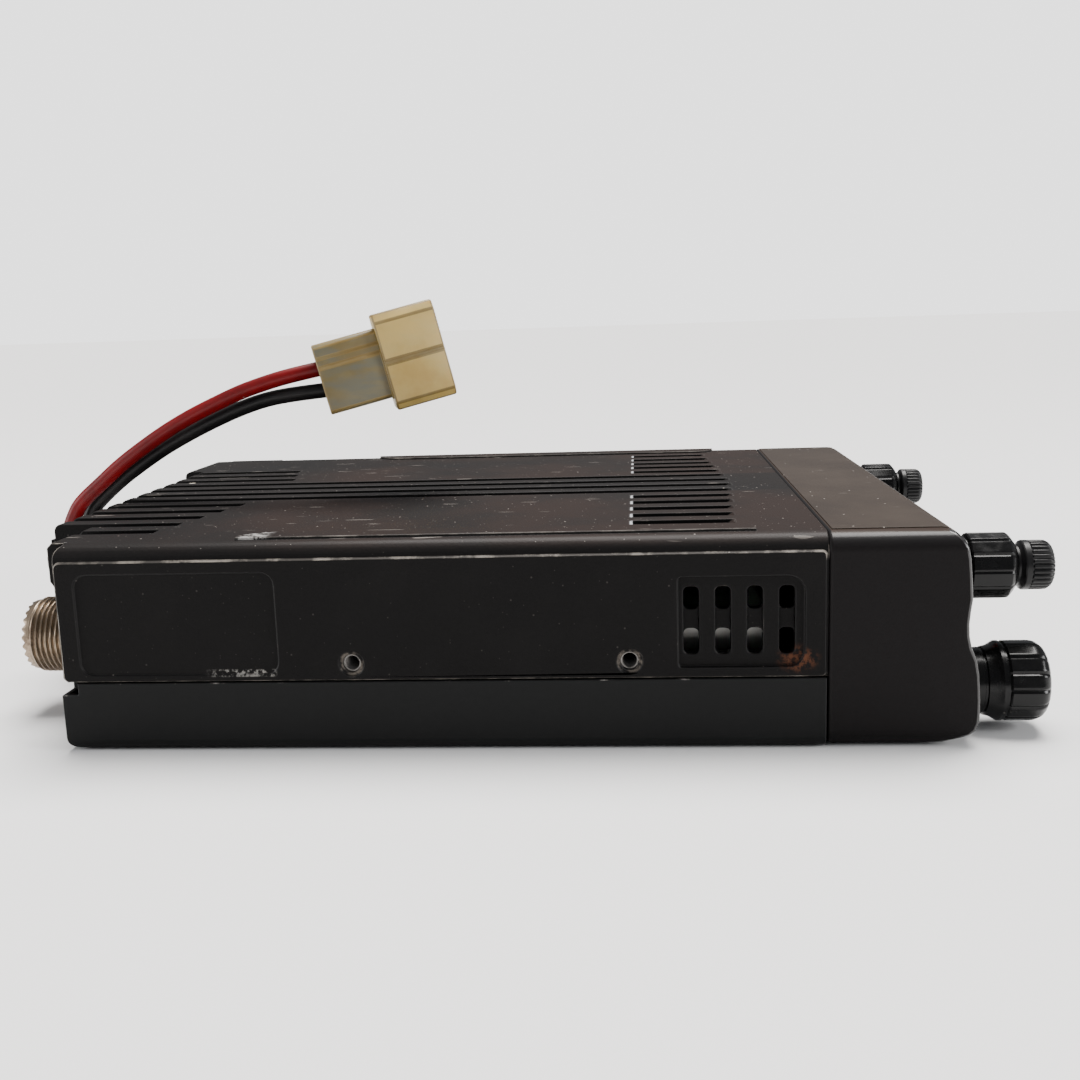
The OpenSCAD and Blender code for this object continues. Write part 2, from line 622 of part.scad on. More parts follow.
// Tube with flat ends swept along a list of points that lie close to one X.
module tube(path, r, sides = 8) {
  n = len(path);
  rings = [for (i = [0 : n - 1]) let (
      t = unit(path[min(i + 1, n - 1)] - path[max(i - 1, 0)]),
      u = unit(cross(t, [1, 0, 0])), w = cross(t, u))
    [for (k = [0 : sides - 1]) path[i] + r * (cos(360 * k / sides) * u + sin(360 * k / sides) * w)]];
  points = [for (ring = rings, q = ring) q];
  walls = [for (i = [0 : n - 2], k = [0 : sides - 1]) let (a = i * sides, b = a + sides, j = (k + 1) % sides)
    [a + k, a + j, b + j, b + k]];
  polyhedron(points = points, faces = concat(walls,
    [[for (k = [sides - 1 : -1 : 0]) k]], [[for (k = [0 : sides - 1]) (n - 1) * sides + k]]));
}

module dc_wire_red() color([0.62, 0.1, 0.14]) placed() tube(samples(red_route, 2), wire_d / 2);
module dc_wire_black() color([0.09, 0.09, 0.09]) placed() tube(samples(black_route, 2), wire_d / 2);

module plug_frame() placed() translate(plug_at) rotate([-cable_tilt, 0, cable_turn]) children();

// Rear half of the connector: two crimp chambers side by side.
module dc_connector_rear() color([0.66, 0.62, 0.5]) plug_frame() union() {
  along_y(-14.6, 0) polygon([[-4.2, -8], [4.2, -8], [5, -7.2], [5, 2.6], [4.4, 3.2],
    [4.4, 7], [3.4, 8], [-3.4, 8], [-4.4, 7], [-4.4, 3.2], [-5, 2.6], [-5, -7.2]]);
}

// Front half: hood round the blades, open to the front, with a groove at half height.
module dc_connector_front() color([0.76, 0.67, 0.46]) plug_frame() difference() {
  along_y(-28.6, -14.6) polygon([[-4.6, -11], [4.6, -11], [6.2, -9.2], [6.2, -0.3], [5.9, 0],
    [6.2, 0.3], [6.2, 8.9], [4.6, 11], [-4.6, 11], [-6.2, 8.9], [-6.2, 0.3], [-5.9, 0],
    [-6.2, -0.3], [-6.2, -9.2]]);
  along_y(-30, -16.4) polygon([[-4, -9.6], [4, -9.6], [4.9, -8.6], [4.9, 8.3], [4, 9.6],
    [-4, 9.6], [-4.9, 8.3], [-4.9, -8.6]]);
}

module dc_terminals() color([0.8, 0.7, 0.45]) plug_frame() {
  block([-0.4, -22.4, 1.6], [0.4, -16.4, 7.8]);
  block([-3.1, -22.4, -5.2], [3.1, -16.4, -4.4]);
}

chassis_casting();
bottom_cover();
cover_screws();
front_bezel();
top_plate();
display_window();
lcd_module();
front_board();
front_backplate();
key_switches();
mic_jack();
encoder_left();
encoder_right();
dual_pot_left();
dual_pot_right();
main_board();
board_screws();
power_module();
shield_front();
shield_rear();
speaker_basket();
speaker_magnet();
speaker_cone();
speaker_cloth();
antenna_shell();
antenna_insulator();
antenna_contact();
antenna_nut();
speaker_jack_a();
speaker_jack_b();
dc_grommet();
dc_wire_red();
dc_wire_black();
dc_connector_rear();
dc_connector_front();
dc_terminals();
tuning_knob_left();
tuning_shaft_left();
tuning_knob_right();
tuning_shaft_right();
squelch_ring_left();
squelch_sleeve_left();
squelch_ring_right();
squelch_sleeve_right();
volume_knob_left();
volume_shaft_left();
volume_knob_right();
volume_shaft_right();
power_button();
band_button();
key_1();
key_2();
key_3();
key_4();
key_5();
key_6();
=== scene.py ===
"""Looks of a compact mobile two-way radio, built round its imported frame.

The frame gives every size and place. Each sub-assembly below is a class that holds its sizes,
builds its meshes in the frame's own coordinates (metres, +Z up, front panel towards -Y) and
dresses them. Lengths written with MM are in millimetres on the real object.
"""

from __future__ import annotations

import json
import logging
import math
from dataclasses import dataclass
from enum import Enum
from typing import Any, Callable, Sequence

import bmesh
import bpy
from mathutils import Matrix, Vector
from mathutils.bvhtree import BVHTree

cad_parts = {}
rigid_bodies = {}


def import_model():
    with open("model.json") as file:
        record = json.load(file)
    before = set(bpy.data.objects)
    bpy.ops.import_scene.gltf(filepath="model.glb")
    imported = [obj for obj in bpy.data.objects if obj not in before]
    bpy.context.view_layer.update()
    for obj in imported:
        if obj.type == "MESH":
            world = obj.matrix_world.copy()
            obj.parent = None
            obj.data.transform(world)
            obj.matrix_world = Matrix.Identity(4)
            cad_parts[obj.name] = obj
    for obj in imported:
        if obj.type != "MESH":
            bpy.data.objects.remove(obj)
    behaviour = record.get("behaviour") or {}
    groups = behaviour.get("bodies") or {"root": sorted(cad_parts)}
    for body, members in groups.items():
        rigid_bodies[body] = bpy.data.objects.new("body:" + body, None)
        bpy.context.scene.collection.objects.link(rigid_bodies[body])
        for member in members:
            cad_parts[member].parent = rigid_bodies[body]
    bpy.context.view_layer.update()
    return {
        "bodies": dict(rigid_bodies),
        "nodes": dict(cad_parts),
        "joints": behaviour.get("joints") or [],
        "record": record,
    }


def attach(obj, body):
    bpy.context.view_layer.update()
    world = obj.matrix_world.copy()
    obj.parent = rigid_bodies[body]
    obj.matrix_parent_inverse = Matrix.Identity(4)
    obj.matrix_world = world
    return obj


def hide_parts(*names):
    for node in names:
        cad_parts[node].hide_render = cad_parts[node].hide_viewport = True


LOG = logging.getLogger("radio")
MM = 0.001
SEAM_Y = -59.2  # where the front unit meets the chassis, in millimetres from the origin

Colour = tuple[float, float, float]
Point = tuple[float, float, float]
Outline = list[tuple[float, float]]


# ---------------------------------------------------------------- shader maths


class Wire:
    """One shader value that takes part in arithmetic."""

    def __init__(self, graph: "Graph", socket: Any) -> None:
        """Wraps a node's output socket of a graph."""
        self.graph = graph
        self.socket = socket

    def other(self, name: str | int) -> "Wire":
        """Another output of the node that this value comes from."""
        return Wire(self.graph, self.socket.node.outputs[name])

    def _maths(self, operation: str, *terms: "Wire | float") -> "Wire":
        """Adds one Math node.

        Args:
            operation: The node's operation.
            terms: Its inputs in order.

        Returns:
            The node's result.
        """
        return self.graph.node("ShaderNodeMath", {"operation": operation}, dict(enumerate(terms)))

    def __add__(self, other: "Wire | float") -> "Wire":
        """self + other."""
        return self._maths("ADD", self, other)

    __radd__ = __add__

    def __mul__(self, other: "Wire | float") -> "Wire":
        """self * other."""
        return self._maths("MULTIPLY", self, other)

    __rmul__ = __mul__

    def __sub__(self, other: "Wire | float") -> "Wire":
        """self - other."""
        return self._maths("SUBTRACT", self, other)

    def __rsub__(self, other: float) -> "Wire":
        """other - self."""
        return self._maths("SUBTRACT", other, self)

    def __truediv__(self, other: "Wire | float") -> "Wire":
        """self / other."""
        return self._maths("DIVIDE", self, other)

    def __pow__(self, other: float) -> "Wire":
        """self ** other."""
        return self._maths("POWER", self, other)

    def __abs__(self) -> "Wire":
        """abs(self)."""
        return self._maths("ABSOLUTE", self)

    def either(self, other: "Wire | float") -> "Wire":
        """The larger of two values."""
        return self._maths("MAXIMUM", self, other)

    def both(self, other: "Wire | float") -> "Wire":
        """The smaller of two values."""
        return self._maths("MINIMUM", self, other)

    def ramp(self, low: float, high: float) -> "Wire":
        """A soft step from 0 at low to 1 at high; low may be the larger one."""
        values = {"Value": self, "From Min": low, "From Max": high}
        return self.graph.node("ShaderNodeMapRange", {"interpolation_type": "SMOOTHSTEP"}, values)


class Graph:
    """The node tree of one material."""

    def __init__(self, name: str) -> None:
        """Starts a material with one principled surface."""
        self.material = bpy.data.materials.new(name)
        self.material.use_nodes = True
        self.tree = self.material.node_tree
        self.tree.nodes.clear()
        self.surface = self.tree.nodes.new("ShaderNodeBsdfPrincipled")
        output = self.tree.nodes.new("ShaderNodeOutputMaterial")
        self.tree.links.new(self.surface.outputs[0], output.inputs[0])
        self._place: Wire | None = None

    def node(self, kind: str, settings: dict[str, Any], values: dict[Any, Any],
             result: str | int = 0) -> Wire:
        """Adds one node of any type.

        Args:
            kind: The node's type.
            settings: Its properties, such as a Math node's operation; they are set first.
            values: What goes into its sockets, by name or number: a Wire or a constant.
            result: The name or number of the output that is wanted.

        Returns:
            The wanted output.
        """
        made = self.tree.nodes.new(kind)
        for name, value in settings.items():
            setattr(made, name, value)
        for key, value in values.items():
            self.feed(made.inputs[key], value)
        return Wire(self, made.outputs[result])

    def feed(self, socket: Any, value: Any) -> None:
        """Links a Wire to a socket, or sets a constant on it."""
        if isinstance(value, Wire):
            self.tree.links.new(value.socket, socket)
        elif isinstance(value, tuple) and len(value) == 3 and socket.type == "RGBA":
            socket.default_value = (*value, 1.0)
        else:
            socket.default_value = value

    @property
    def place(self) -> Wire:
        """The point on the object, in metres of the frame."""
        if self._place is None:
            self._place = self.node("ShaderNodeTexCoord", {}, {}, "Object")
        return self._place

    def axis(self, name: str) -> Wire:
        """One coordinate of the point: "X", "Y" or "Z", in metres."""
        return self.node("ShaderNodeSeparateXYZ", {}, {0: self.place}, name)

    def facing(self, name: str) -> Wire:
        """One component of the surface's direction in the frame."""
        normal = self.node("ShaderNodeTexCoord", {}, {}, "Normal")
        return self.node("ShaderNodeSeparateXYZ", {}, {0: normal}, name)

    def stretched(self, scale: Point) -> Wire:
        """The point with each axis scaled, to stretch a pattern."""
        return self.node("ShaderNodeVectorMath", {"operation": "MULTIPLY"},
                         {0: self.place, 1: scale})

    def noise(self, size: float, detail: float = 2.0, rough: float = 0.5,
              place: Wire | None = None) -> Wire:
        """Smooth noise between 0 and 1.

        Args:
            size: The width of its patches in metres.
            detail: How many finer layers it has.
            rough: How strong the finer layers are.
            place: Where it is read; the point itself if left out.

        Returns:
            The noise value.
        """
        values = {"Vector": place or self.place, "Scale": 1 / size, "Detail": detail,
                  "Roughness": rough}
        return self.node("ShaderNodeTexNoise", {}, values, "Fac")

    def specks(self, size: float, share: float, radius: float = 0.22) -> Wire:
        """Scattered round specks.

        Args:
            size: Distance between possible specks in metres.
            share: The part of them that is there, from 0 to 1.
            radius: A speck's radius in cell widths.

        Returns:
            1 on a speck, 0 elsewhere.
        """
        values = {"Vector": self.place, "Scale": 1 / size}
        dots = self.node("ShaderNodeTexVoronoi", {}, values, "Distance")
        pick = self.node("ShaderNodeSeparateColor", {}, {0: dots.other("Color")}, 0)
        near = dots.ramp(radius, radius * 0.55)
        return near * pick.ramp(share, share * 0.98)

    def blend(self, amount: Wire | float, first: Any, second: Any) -> Wire:
        """A colour between two colours."""
        values = {0: amount, 6: first, 7: second}
        return self.node("ShaderNodeMix", {"data_type": "RGBA"}, values, 2)

    def bump(self, height: Wire, depth: float) -> Wire:
        """Turns a height between 0 and 1 into a surface direction.

        Args:
            height: The height field.
            depth: Its depth in metres.

        Returns:
            The direction for a Normal socket.
        """
        values = {"Height": height, "Distance": depth, "Strength": 1.0}
        return self.node("ShaderNodeBump", {}, values)

    def finish(self, **sockets: Any) -> bpy.types.Material:
        """Sets the surface's sockets and returns the material.

        Args:
            sockets: Values by socket name, with _ for a space.

        Returns:
            The material.
        """
        for name, value in sockets.items():
            self.feed(self.surface.inputs[name.replace("_", " ")], value)
        return self.material


# ---------------------------------------------------------------- finishes


class Finish:
    """A surface finish; make() gives its material."""

    def make(self) -> bpy.types.Material:
        """Builds the material."""
        raise NotImplementedError


@dataclass(frozen=True)
class CastPaint(Finish):
    """Fine-textured satin black paint on a die casting, with dust, stains and chips, and painted
    highlights at the groove ends and a rail end.
    """

    name: str = "cast_black"
    tint: Colour = (0.0060, 0.0056, 0.0056)
    dusty: Colour = (0.0180, 0.0112, 0.0094)
    chip: Colour = (0.42, 0.38, 0.33)
    chip_share: float = 0.012
    edge: bool = False
    stain_at: tuple[float, float] = (5.4, 16.6)
    hole_y: tuple[float, float] = (35.6, 86.9)
    hole_z: float = 16.5
    label_edge_z: float = 14.9
    groove_end_y: float = 35.3

    def make(self) -> bpy.types.Material:
        """Builds the paint, or its rubbed edge."""
        graph = Graph(self.name)
        grain = graph.noise(0.00045, 3.0, 0.6)
        cloud = graph.noise(0.035, 4.0, 0.55)
        streak = graph.noise(0.02, 3.0, 0.6, graph.stretched((1.0, 0.25, 1.0)))
        up = graph.facing("Z").ramp(0.35, 0.95)
        high = graph.axis("Z").ramp(0.0385 - 0.004, 0.0385)
        film = up * high * (cloud.ramp(0.30, 0.62) * 0.75 + streak * 0.4) * self._handled(graph)
        colour = graph.blend(film, self.tint, self.dusty)
        bloom = graph.noise(0.012, 3.0).ramp(0.45, 0.75) * 0.35
        colour = graph.blend(bloom, colour, tuple(c * 1.5 for c in self.tint))
        specks = graph.specks(0.0030, 0.85, 0.075).either(graph.specks(0.0014, 0.60, 0.10) * 0.7)
        hair = graph.noise(0.0052, 1.0, 0.5, graph.stretched((5.5, 0.45, 1.0))).ramp(0.750, 0.775)
        specks = specks.either(hair * up * 0.6)
        dust = specks * (0.10 + up * 0.90)
        chips = graph.specks(0.009, self.chip_share, 0.11)
        colour = graph.blend(dust * 0.8, colour, (0.34, 0.31, 0.28))
        colour = graph.blend(chips, colour, self.chip)
        roughness = 0.46 + grain * 0.16 + film * 0.10
        depth = 0.00006
        if self.edge:
            rub = graph.noise(0.007, 5.0, 0.7)
            worn = self._worn_edges(graph)
            rub = rub.ramp(0.60, 0.72) * 0.2 + worn * (0.14 + rub.ramp(0.46, 0.62) * 0.70)
            rub = rub.both(1.0)
            colour = graph.blend(rub * 0.7, colour, self.chip)
            roughness = roughness - rub * 0.12
            depth = 0.00003
        # painted glints: near-white highlight colour on the non-upward walls at the groove ends
        painted_glint = self._painted_groove_glints(graph) * (1.0 - up)
        colour = graph.blend(painted_glint, colour, (0.85, 0.86, 0.88))
        rust = self._rust(graph)
        colour = graph.blend(rust, colour, (0.085, 0.032, 0.016))
        # painted highlight: a pale grey patch on the left rail's slanted rear end
        colour = graph.blend(self._painted_rail_end_highlight(graph), colour, (0.34, 0.33, 0.32))
        colour = graph.blend(self._label_chips(graph), colour, (0.30, 0.29, 0.27))
        ring = self._bare_rings(graph)
        colour = graph.blend(ring * 0.75, colour, (0.12, 0.105, 0.09))
        return graph.finish(Base_Color=colour, Roughness=roughness, Metallic=ring * 0.8,
                            Specular_IOR_Level=0.16 if self.edge else 0.07,
                            Coat_Weight=self._round_edges(graph) * 0.12, Coat_Roughness=0.3,
                            Normal=graph.bump(grain, depth))

    def _handled(self, graph: Graph) -> Wire:
        """How brown the deck has become: less between its grooves and on the rear fins."""
        middle = abs(graph.axis("X")).ramp(0.0150, 0.0135)
        fins = graph.axis("Y").ramp(from_seam(104), from_seam(128))
        return 1.0 - middle.either(fins) * 0.75

    def _label_chips(self, graph: Graph) -> Wire:
        """Chipped paint along the lower front edge of the label field."""
        beside = graph.axis("X").ramp(-0.0688, -0.0691)
        y = graph.axis("Y")
        along = y.ramp(from_seam(100.8), from_seam(101.8))
        along = along * y.ramp(from_seam(115), from_seam(112))
        low = abs(graph.axis("Z") - self.label_edge_z * MM).ramp(0.0008, 0.0004)
        return beside * along * low * graph.noise(0.0017, 4.0, 0.7).ramp(0.47, 0.60) * 0.8

    def _painted_rail_end_highlight(self, graph: Graph) -> Wire:
        """Painted highlight: a pale grey patch on the slanted rear end of the left rail."""
        left = graph.axis("X").ramp(-0.0597, -0.0603)
        y = graph.axis("Y").ramp(from_seam(101.5), from_seam(104))
        high = graph.axis("Z").ramp(0.03945, 0.0396)
        return left * y * high * graph.noise(0.0016, 4.0, 0.7).ramp(0.40, 0.58) * 0.8

    def _round_edges(self, graph: Graph) -> Wire:
        """The polished long upper edges."""
        up = graph.facing("Z")
        out = abs(graph.axis("X")).ramp(0.0640, 0.0655)
        return up.ramp(0.25, 0.5) * up.ramp(0.97, 0.85) * out

    def _painted_groove_glints(self, graph: Graph) -> Wire:
        """Painted glints: near-white highlight colour on the walls at the rear ends of the short
        grooves of the deck.
        """
        y = graph.axis("Y") - from_seam(self.groove_end_y)
        high = graph.axis("Z").ramp(0.0372, 0.0376)
        out = abs(graph.axis("X"))
        between = out.ramp(0.0160, 0.0165) * out.ramp(0.060, 0.059)
        return abs(y).ramp(0.0007, 0.0005) * high * between

    def _worn_edges(self, graph: Graph) -> Wire:
        """Where hands and brackets have rubbed the edges bare: the outermost ones."""
        x, y, z = (graph.axis(name) for name in "XYZ")
        out = abs(x)
        panel = out.ramp(0.0691, 0.0694) * z.ramp(0.0345, 0.0355) * 0.7
        rear = y.ramp(from_seam(141.2), from_seam(141.8)) * out.ramp(0.0635, 0.0650)
        rail = z.ramp(0.03975, 0.0399) * y.ramp(from_seam(98), from_seam(104))
        rails = z.ramp(0.0397, 0.0399) * 0.3
        seam = z.ramp(0.0142, 0.0138) * out.ramp(0.0691, 0.0694) * 0.5
        return panel.either(rear).either(rail).either(rails).either(seam)

    def _rust(self, graph: Graph) -> Wire:
        """A brown stain at the lower front corner of the left vent."""
        beside = graph.axis("X").ramp(-0.0675, -0.0688)
        y = graph.axis("Y") - from_seam(self.stain_at[0])
        z = graph.axis("Z") - self.stain_at[1] * MM
        reach = (y * y + z * z * 2.2) ** 0.5
        return beside * reach.ramp(0.0046, 0.0012) * graph.noise(0.0014, 4.0, 0.7).ramp(0.42, 0.62)

    def _bare_rings(self, graph: Graph) -> Wire:
        """Bare metal in the countersinks of the bracket holes."""
        side = abs(graph.axis("X")).ramp(0.0686, 0.0690)
        z = graph.axis("Z") - self.hole_z * MM
        found: Wire | float = 0.0
        for hole in self.hole_y:
            y = graph.axis("Y") - from_seam(hole)
            reach = (y * y + z * z) ** 0.5
            near = reach.ramp(0.00245, 0.00225)
            found = near if isinstance(found, float) else found.either(near)
        return found * side * graph.noise(0.0016, 3.0).ramp(0.42, 0.6)


@dataclass(frozen=True)
class SheetPaint(Finish):
    """Smooth satin black paint on folded sheet steel."""

    name: str = "steel_black"
    tint: Colour = (0.0088, 0.0091, 0.0092)
    edge: bool = False

    def make(self) -> bpy.types.Material:
        """Builds the paint, or its rubbed edge."""
        graph = Graph(self.name)
        peel = graph.noise(0.0011, 3.0, 0.55)
        cloud = graph.noise(0.028, 3.0, 0.5)
        colour = graph.blend(cloud * 0.5, self.tint, tuple(c * 1.45 for c in self.tint))
        colour = graph.blend(graph.specks(0.006, 0.30, 0.05) * 0.5, colour, (0.26, 0.24, 0.22))
        scratch = graph.noise(0.004, 2.0, 0.5, graph.stretched((6.0, 0.12, 6.0))).ramp(0.72, 0.80)
        colour = graph.blend(scratch * 0.25, colour, (0.10, 0.10, 0.10))
        roughness = 0.40 + cloud * 0.12 + peel * 0.05
        if self.edge:
            rub = graph.noise(0.005, 4.0, 0.65).ramp(0.60, 0.72)
            colour = graph.blend(rub * 0.6, colour, (0.33, 0.31, 0.29))
        return graph.finish(Base_Color=colour, Roughness=roughness,
                            Specular_IOR_Level=0.18 if self.edge else 0.08,
                            Normal=graph.bump(peel, 0.00003))


@dataclass(frozen=True)
class MouldedPlastic(Finish):
    """Satin moulded plastic with a fine spark-eroded grain."""

    name: str = "front_black"
    tint: Colour = (0.0058, 0.0050, 0.0052)
    rubbed: Colour = (0.22, 0.215, 0.21)
    rub_from: float = 0.56
    rough: float = 0.42
    gloss: float = 0.08
    polish: float = 0.0
    skin: Colour | None = None

    def make(self) -> bpy.types.Material:
        """Builds the plastic."""
        graph = Graph(self.name)
        grain = graph.noise(0.00035, 2.0, 0.5)
        cloud = graph.noise(0.03, 4.0, 0.55)
        colour = graph.blend(cloud * 0.6, self.tint, tuple(c * 1.5 for c in self.tint))
        colour = graph.blend(graph.specks(0.006, 0.30, 0.045) * 0.5, colour, (0.27, 0.25, 0.23))
        roughness = self.rough + grain * 0.08 + cloud * 0.08
        if self.skin:
            top = graph.facing("Z").ramp(0.80, 0.95) * graph.axis("Z").ramp(0.036, 0.037)
            colour = graph.blend(top, colour, self.skin)
        if self.rub_from < 1:
            rub = graph.noise(0.007, 4.0, 0.6).ramp(self.rub_from, self.rub_from + 0.12)
            rub = rub * self._away_from_seam(graph)
            colour = graph.blend(rub * 0.75, colour, self.rubbed)
        return graph.finish(Base_Color=colour, Roughness=roughness,
                            Specular_IOR_Level=self.gloss, Coat_Roughness=0.22,
                            Coat_Weight=self._coat(graph),
                            Normal=graph.bump(grain, 0.00003))

    def _away_from_seam(self, graph: Graph) -> Wire:
        """Full strength on the front rim, nothing where the shell meets the chassis."""
        return graph.axis("Y").ramp(from_seam(-15), from_seam(-20))

    def _coat(self, graph: Graph) -> Wire | float:
        """Where handling has polished the shell: its front rim, and a little its upper edges."""
        if self.polish > 0:
            return self._away_from_seam(graph) * self.polish
        if not self.skin:
            return 0.0
        up = graph.facing("Z")
        return up.ramp(0.22, 0.5) * up.ramp(0.97, 0.85) * graph.axis("Z").ramp(0.034, 0.036) * 0.3


@dataclass(frozen=True)
class BrownSkin(Finish):
    """The worn brownish-black top of the front unit."""

    name: str = "top_brown"
    tint: Colour = (0.020, 0.0130, 0.0088)
    pale: Colour = (0.032, 0.0222, 0.0158)

    def make(self) -> bpy.types.Material:
        """Builds the skin."""
        graph = Graph(self.name)
        grain = graph.noise(0.0005, 3.0, 0.6)
        cloud = graph.noise(0.022, 5.0, 0.6)
        colour = graph.blend(cloud.ramp(0.3, 0.75), self.tint, self.pale)
        marks = graph.noise(0.003, 2.0, 0.5, graph.stretched((3.5, 0.5, 1.0))).ramp(0.73, 0.78)
        colour = graph.blend(marks * 0.35, colour, (0.40, 0.36, 0.32))
        specks = graph.specks(0.0030, 0.75, 0.075)
        colour = graph.blend(specks * 0.75, colour, (0.50, 0.46, 0.42))
        return graph.finish(Base_Color=colour, Roughness=0.44 + cloud * 0.16,
                            Specular_IOR_Level=0.15, Normal=graph.bump(grain, 0.00004))


@dataclass(frozen=True)
class KnobPlastic(Finish):
    """Polished black knob plastic with finger wear and dust in its grooves."""

    name: str = "knob_gloss"
    tint: Colour = (0.0030, 0.0030, 0.0031)
    rough: float = 0.17

    def make(self) -> bpy.types.Material:
        """Builds the plastic."""
        graph = Graph(self.name)
        smear = graph.noise(0.004, 4.0, 0.6)
        fine = graph.noise(0.0007, 3.0, 0.6)
        colour = graph.blend(smear * 0.7, self.tint, tuple(c * 2.0 for c in self.tint))
        colour = graph.blend(graph.specks(0.002, 0.03, 0.12) * 0.4, colour, (0.25, 0.24, 0.22))
        roughness = self.rough + smear.ramp(0.35, 0.75) * 0.16
        return graph.finish(Base_Color=colour, Roughness=roughness, Specular_IOR_Level=0.20,
                            Normal=graph.bump(fine, 0.00001))


@dataclass(frozen=True)
class Metal(Finish):
    """Bare or plated metal with tarnish and fine marks."""

    name: str
    tint: Colour
    tarnish: Colour
    rough: float = 0.28
    amount: float = 0.5
    patch: float = 0.006

    def make(self) -> bpy.types.Material:
        """Builds the metal."""
        graph = Graph(self.name)
        patch = graph.noise(self.patch, 5.0, 0.65)
        fine = graph.noise(self.patch / 9, 3.0, 0.6)
        stain = (patch * 0.65 + fine * 0.35).ramp(0.62 - self.amount * 0.3, 0.72)
        colour = graph.blend(stain * (0.3 + self.amount * 0.7), self.tint, self.tarnish)
        roughness = self.rough + stain * 0.25 + fine * 0.08
        return graph.finish(Base_Color=colour, Roughness=roughness, Metallic=1.0 - stain * 0.35,
                            Normal=graph.bump(fine, 0.00002))


@dataclass(frozen=True)
class Nylon(Finish):
    """Aged translucent nylon, yellowed unevenly, with painted shade on its upward faces where upper
    is set.
    """

    name: str
    tint: Colour
    deep: Colour
    grey: Colour
    grey_share: float = 0.5
    upper: float = 0.0

    def make(self) -> bpy.types.Material:
        """Builds the nylon."""
        graph = Graph(self.name)
        cloud = graph.noise(0.010, 4.0, 0.55)
        flow = graph.noise(0.004, 3.0, 0.5, graph.stretched((1.0, 0.4, 1.6)))
        colour = graph.blend(cloud.ramp(0.35, 0.7), self.tint, self.deep)
        colour = graph.blend(flow.ramp(0.4, 0.75) * self.grey_share, colour, self.grey)
        # painted shade: upward-facing faces darkened towards the deep colour, by the share in upper
        if self.upper > 0:
            colour = graph.blend(graph.facing("Z").ramp(0.45, 0.85) * self.upper, colour,
                                 tuple(c * 0.45 for c in self.deep))
        dirt = graph.noise(0.0022, 4.0, 0.7).ramp(0.66, 0.78)
        colour = graph.blend(dirt * 0.35, colour, (0.12, 0.075, 0.035))
        return graph.finish(Base_Color=colour, Roughness=0.30 + cloud * 0.16,
                            Subsurface_Weight=0.35, Subsurface_Radius=(1.0, 0.75, 0.4),
                            Subsurface_Scale=0.0016, Specular_IOR_Level=0.45,
                            Normal=graph.bump(flow, 0.00005))


@dataclass(frozen=True)
class Vinyl(Finish):
    """Soft vinyl insulation of a wire, a little dusty."""

    name: str
    tint: Colour
    shade: Colour
    rough: float = 0.36

    def make(self) -> bpy.types.Material:
        """Builds the vinyl."""
        graph = Graph(self.name)
        cloud = graph.noise(0.007, 4.0, 0.6)
        lay = graph.noise(0.0009, 3.0, 0.6)
        colour = graph.blend(cloud.ramp(0.35, 0.75), self.tint, self.shade)
        colour = graph.blend(graph.specks(0.0026, 0.05, 0.11) * 0.35, colour, (0.42, 0.36, 0.33))
        return graph.finish(Base_Color=colour, Roughness=self.rough + cloud * 0.14,
                            Specular_IOR_Level=0.25, Normal=graph.bump(lay, 0.00002))


@dataclass(frozen=True)
class Plain(Finish):
    """An inner or small part: a tint with patches and a fine grain."""

    name: str
    tint: Colour
    shade: Colour
    rough: float = 0.5
    metal: float = 0.0
    alpha: float = 1.0
    grain: float = 0.0006

    def make(self) -> bpy.types.Material:
        """Builds the finish."""
        graph = Graph(self.name)
        cloud = graph.noise(self.grain * 14, 4.0, 0.6)
        grain = graph.noise(self.grain, 3.0, 0.6)
        colour = graph.blend(cloud.ramp(0.3, 0.75), self.tint, self.shade)
        return graph.finish(Base_Color=colour, Roughness=self.rough + grain * 0.12,
                            Metallic=self.metal, Alpha=self.alpha,
                            Normal=graph.bump(grain, self.grain * 0.04))


# ---------------------------------------------------------------- mesh helpers


def from_seam(y: float) -> float:
    """A length behind the seam, in millimetres, as a Y of the frame in metres."""
    return (SEAM_Y + y) * MM


def shown(name: str, mesh: bpy.types.Mesh) -> bpy.types.Object:
    """Links a mesh to the scene as an object at the origin."""
    made = bpy.data.objects.new(name, mesh)
    bpy.context.scene.collection.objects.link(made)
    return made


def plain_mesh(piece: bpy.types.Object) -> bpy.types.Object:
    """Turns a piece with modifiers, or a curve, into a plain mesh object of the same name."""
    bpy.context.view_layer.update()
    graph = bpy.context.evaluated_depsgraph_get()
    mesh = bpy.data.meshes.new_from_object(piece.evaluated_get(graph), depsgraph=graph)
    name = piece.name
    bpy.data.objects.remove(piece)
    mesh.name = name
    return shown(name, mesh)


def close_up(shape: bmesh.types.BMesh, merge: float = 1e-7) -> None:
    """Merges doubles and points every face outwards."""
    bmesh.ops.remove_doubles(shape, verts=shape.verts, dist=merge)
    bmesh.ops.recalc_face_normals(shape, faces=shape.faces)


def as_mesh(shape: bmesh.types.BMesh, name: str, crease: float = 35.0) -> bpy.types.Mesh:
    """Ends a bmesh as a smooth-shaded mesh with creases above an angle in degrees."""
    mesh = bpy.data.meshes.new(name)
    shape.to_mesh(mesh)
    shape.free()
    mesh.shade_smooth()
    mesh.set_sharp_from_angle(angle=math.radians(crease))
    return mesh


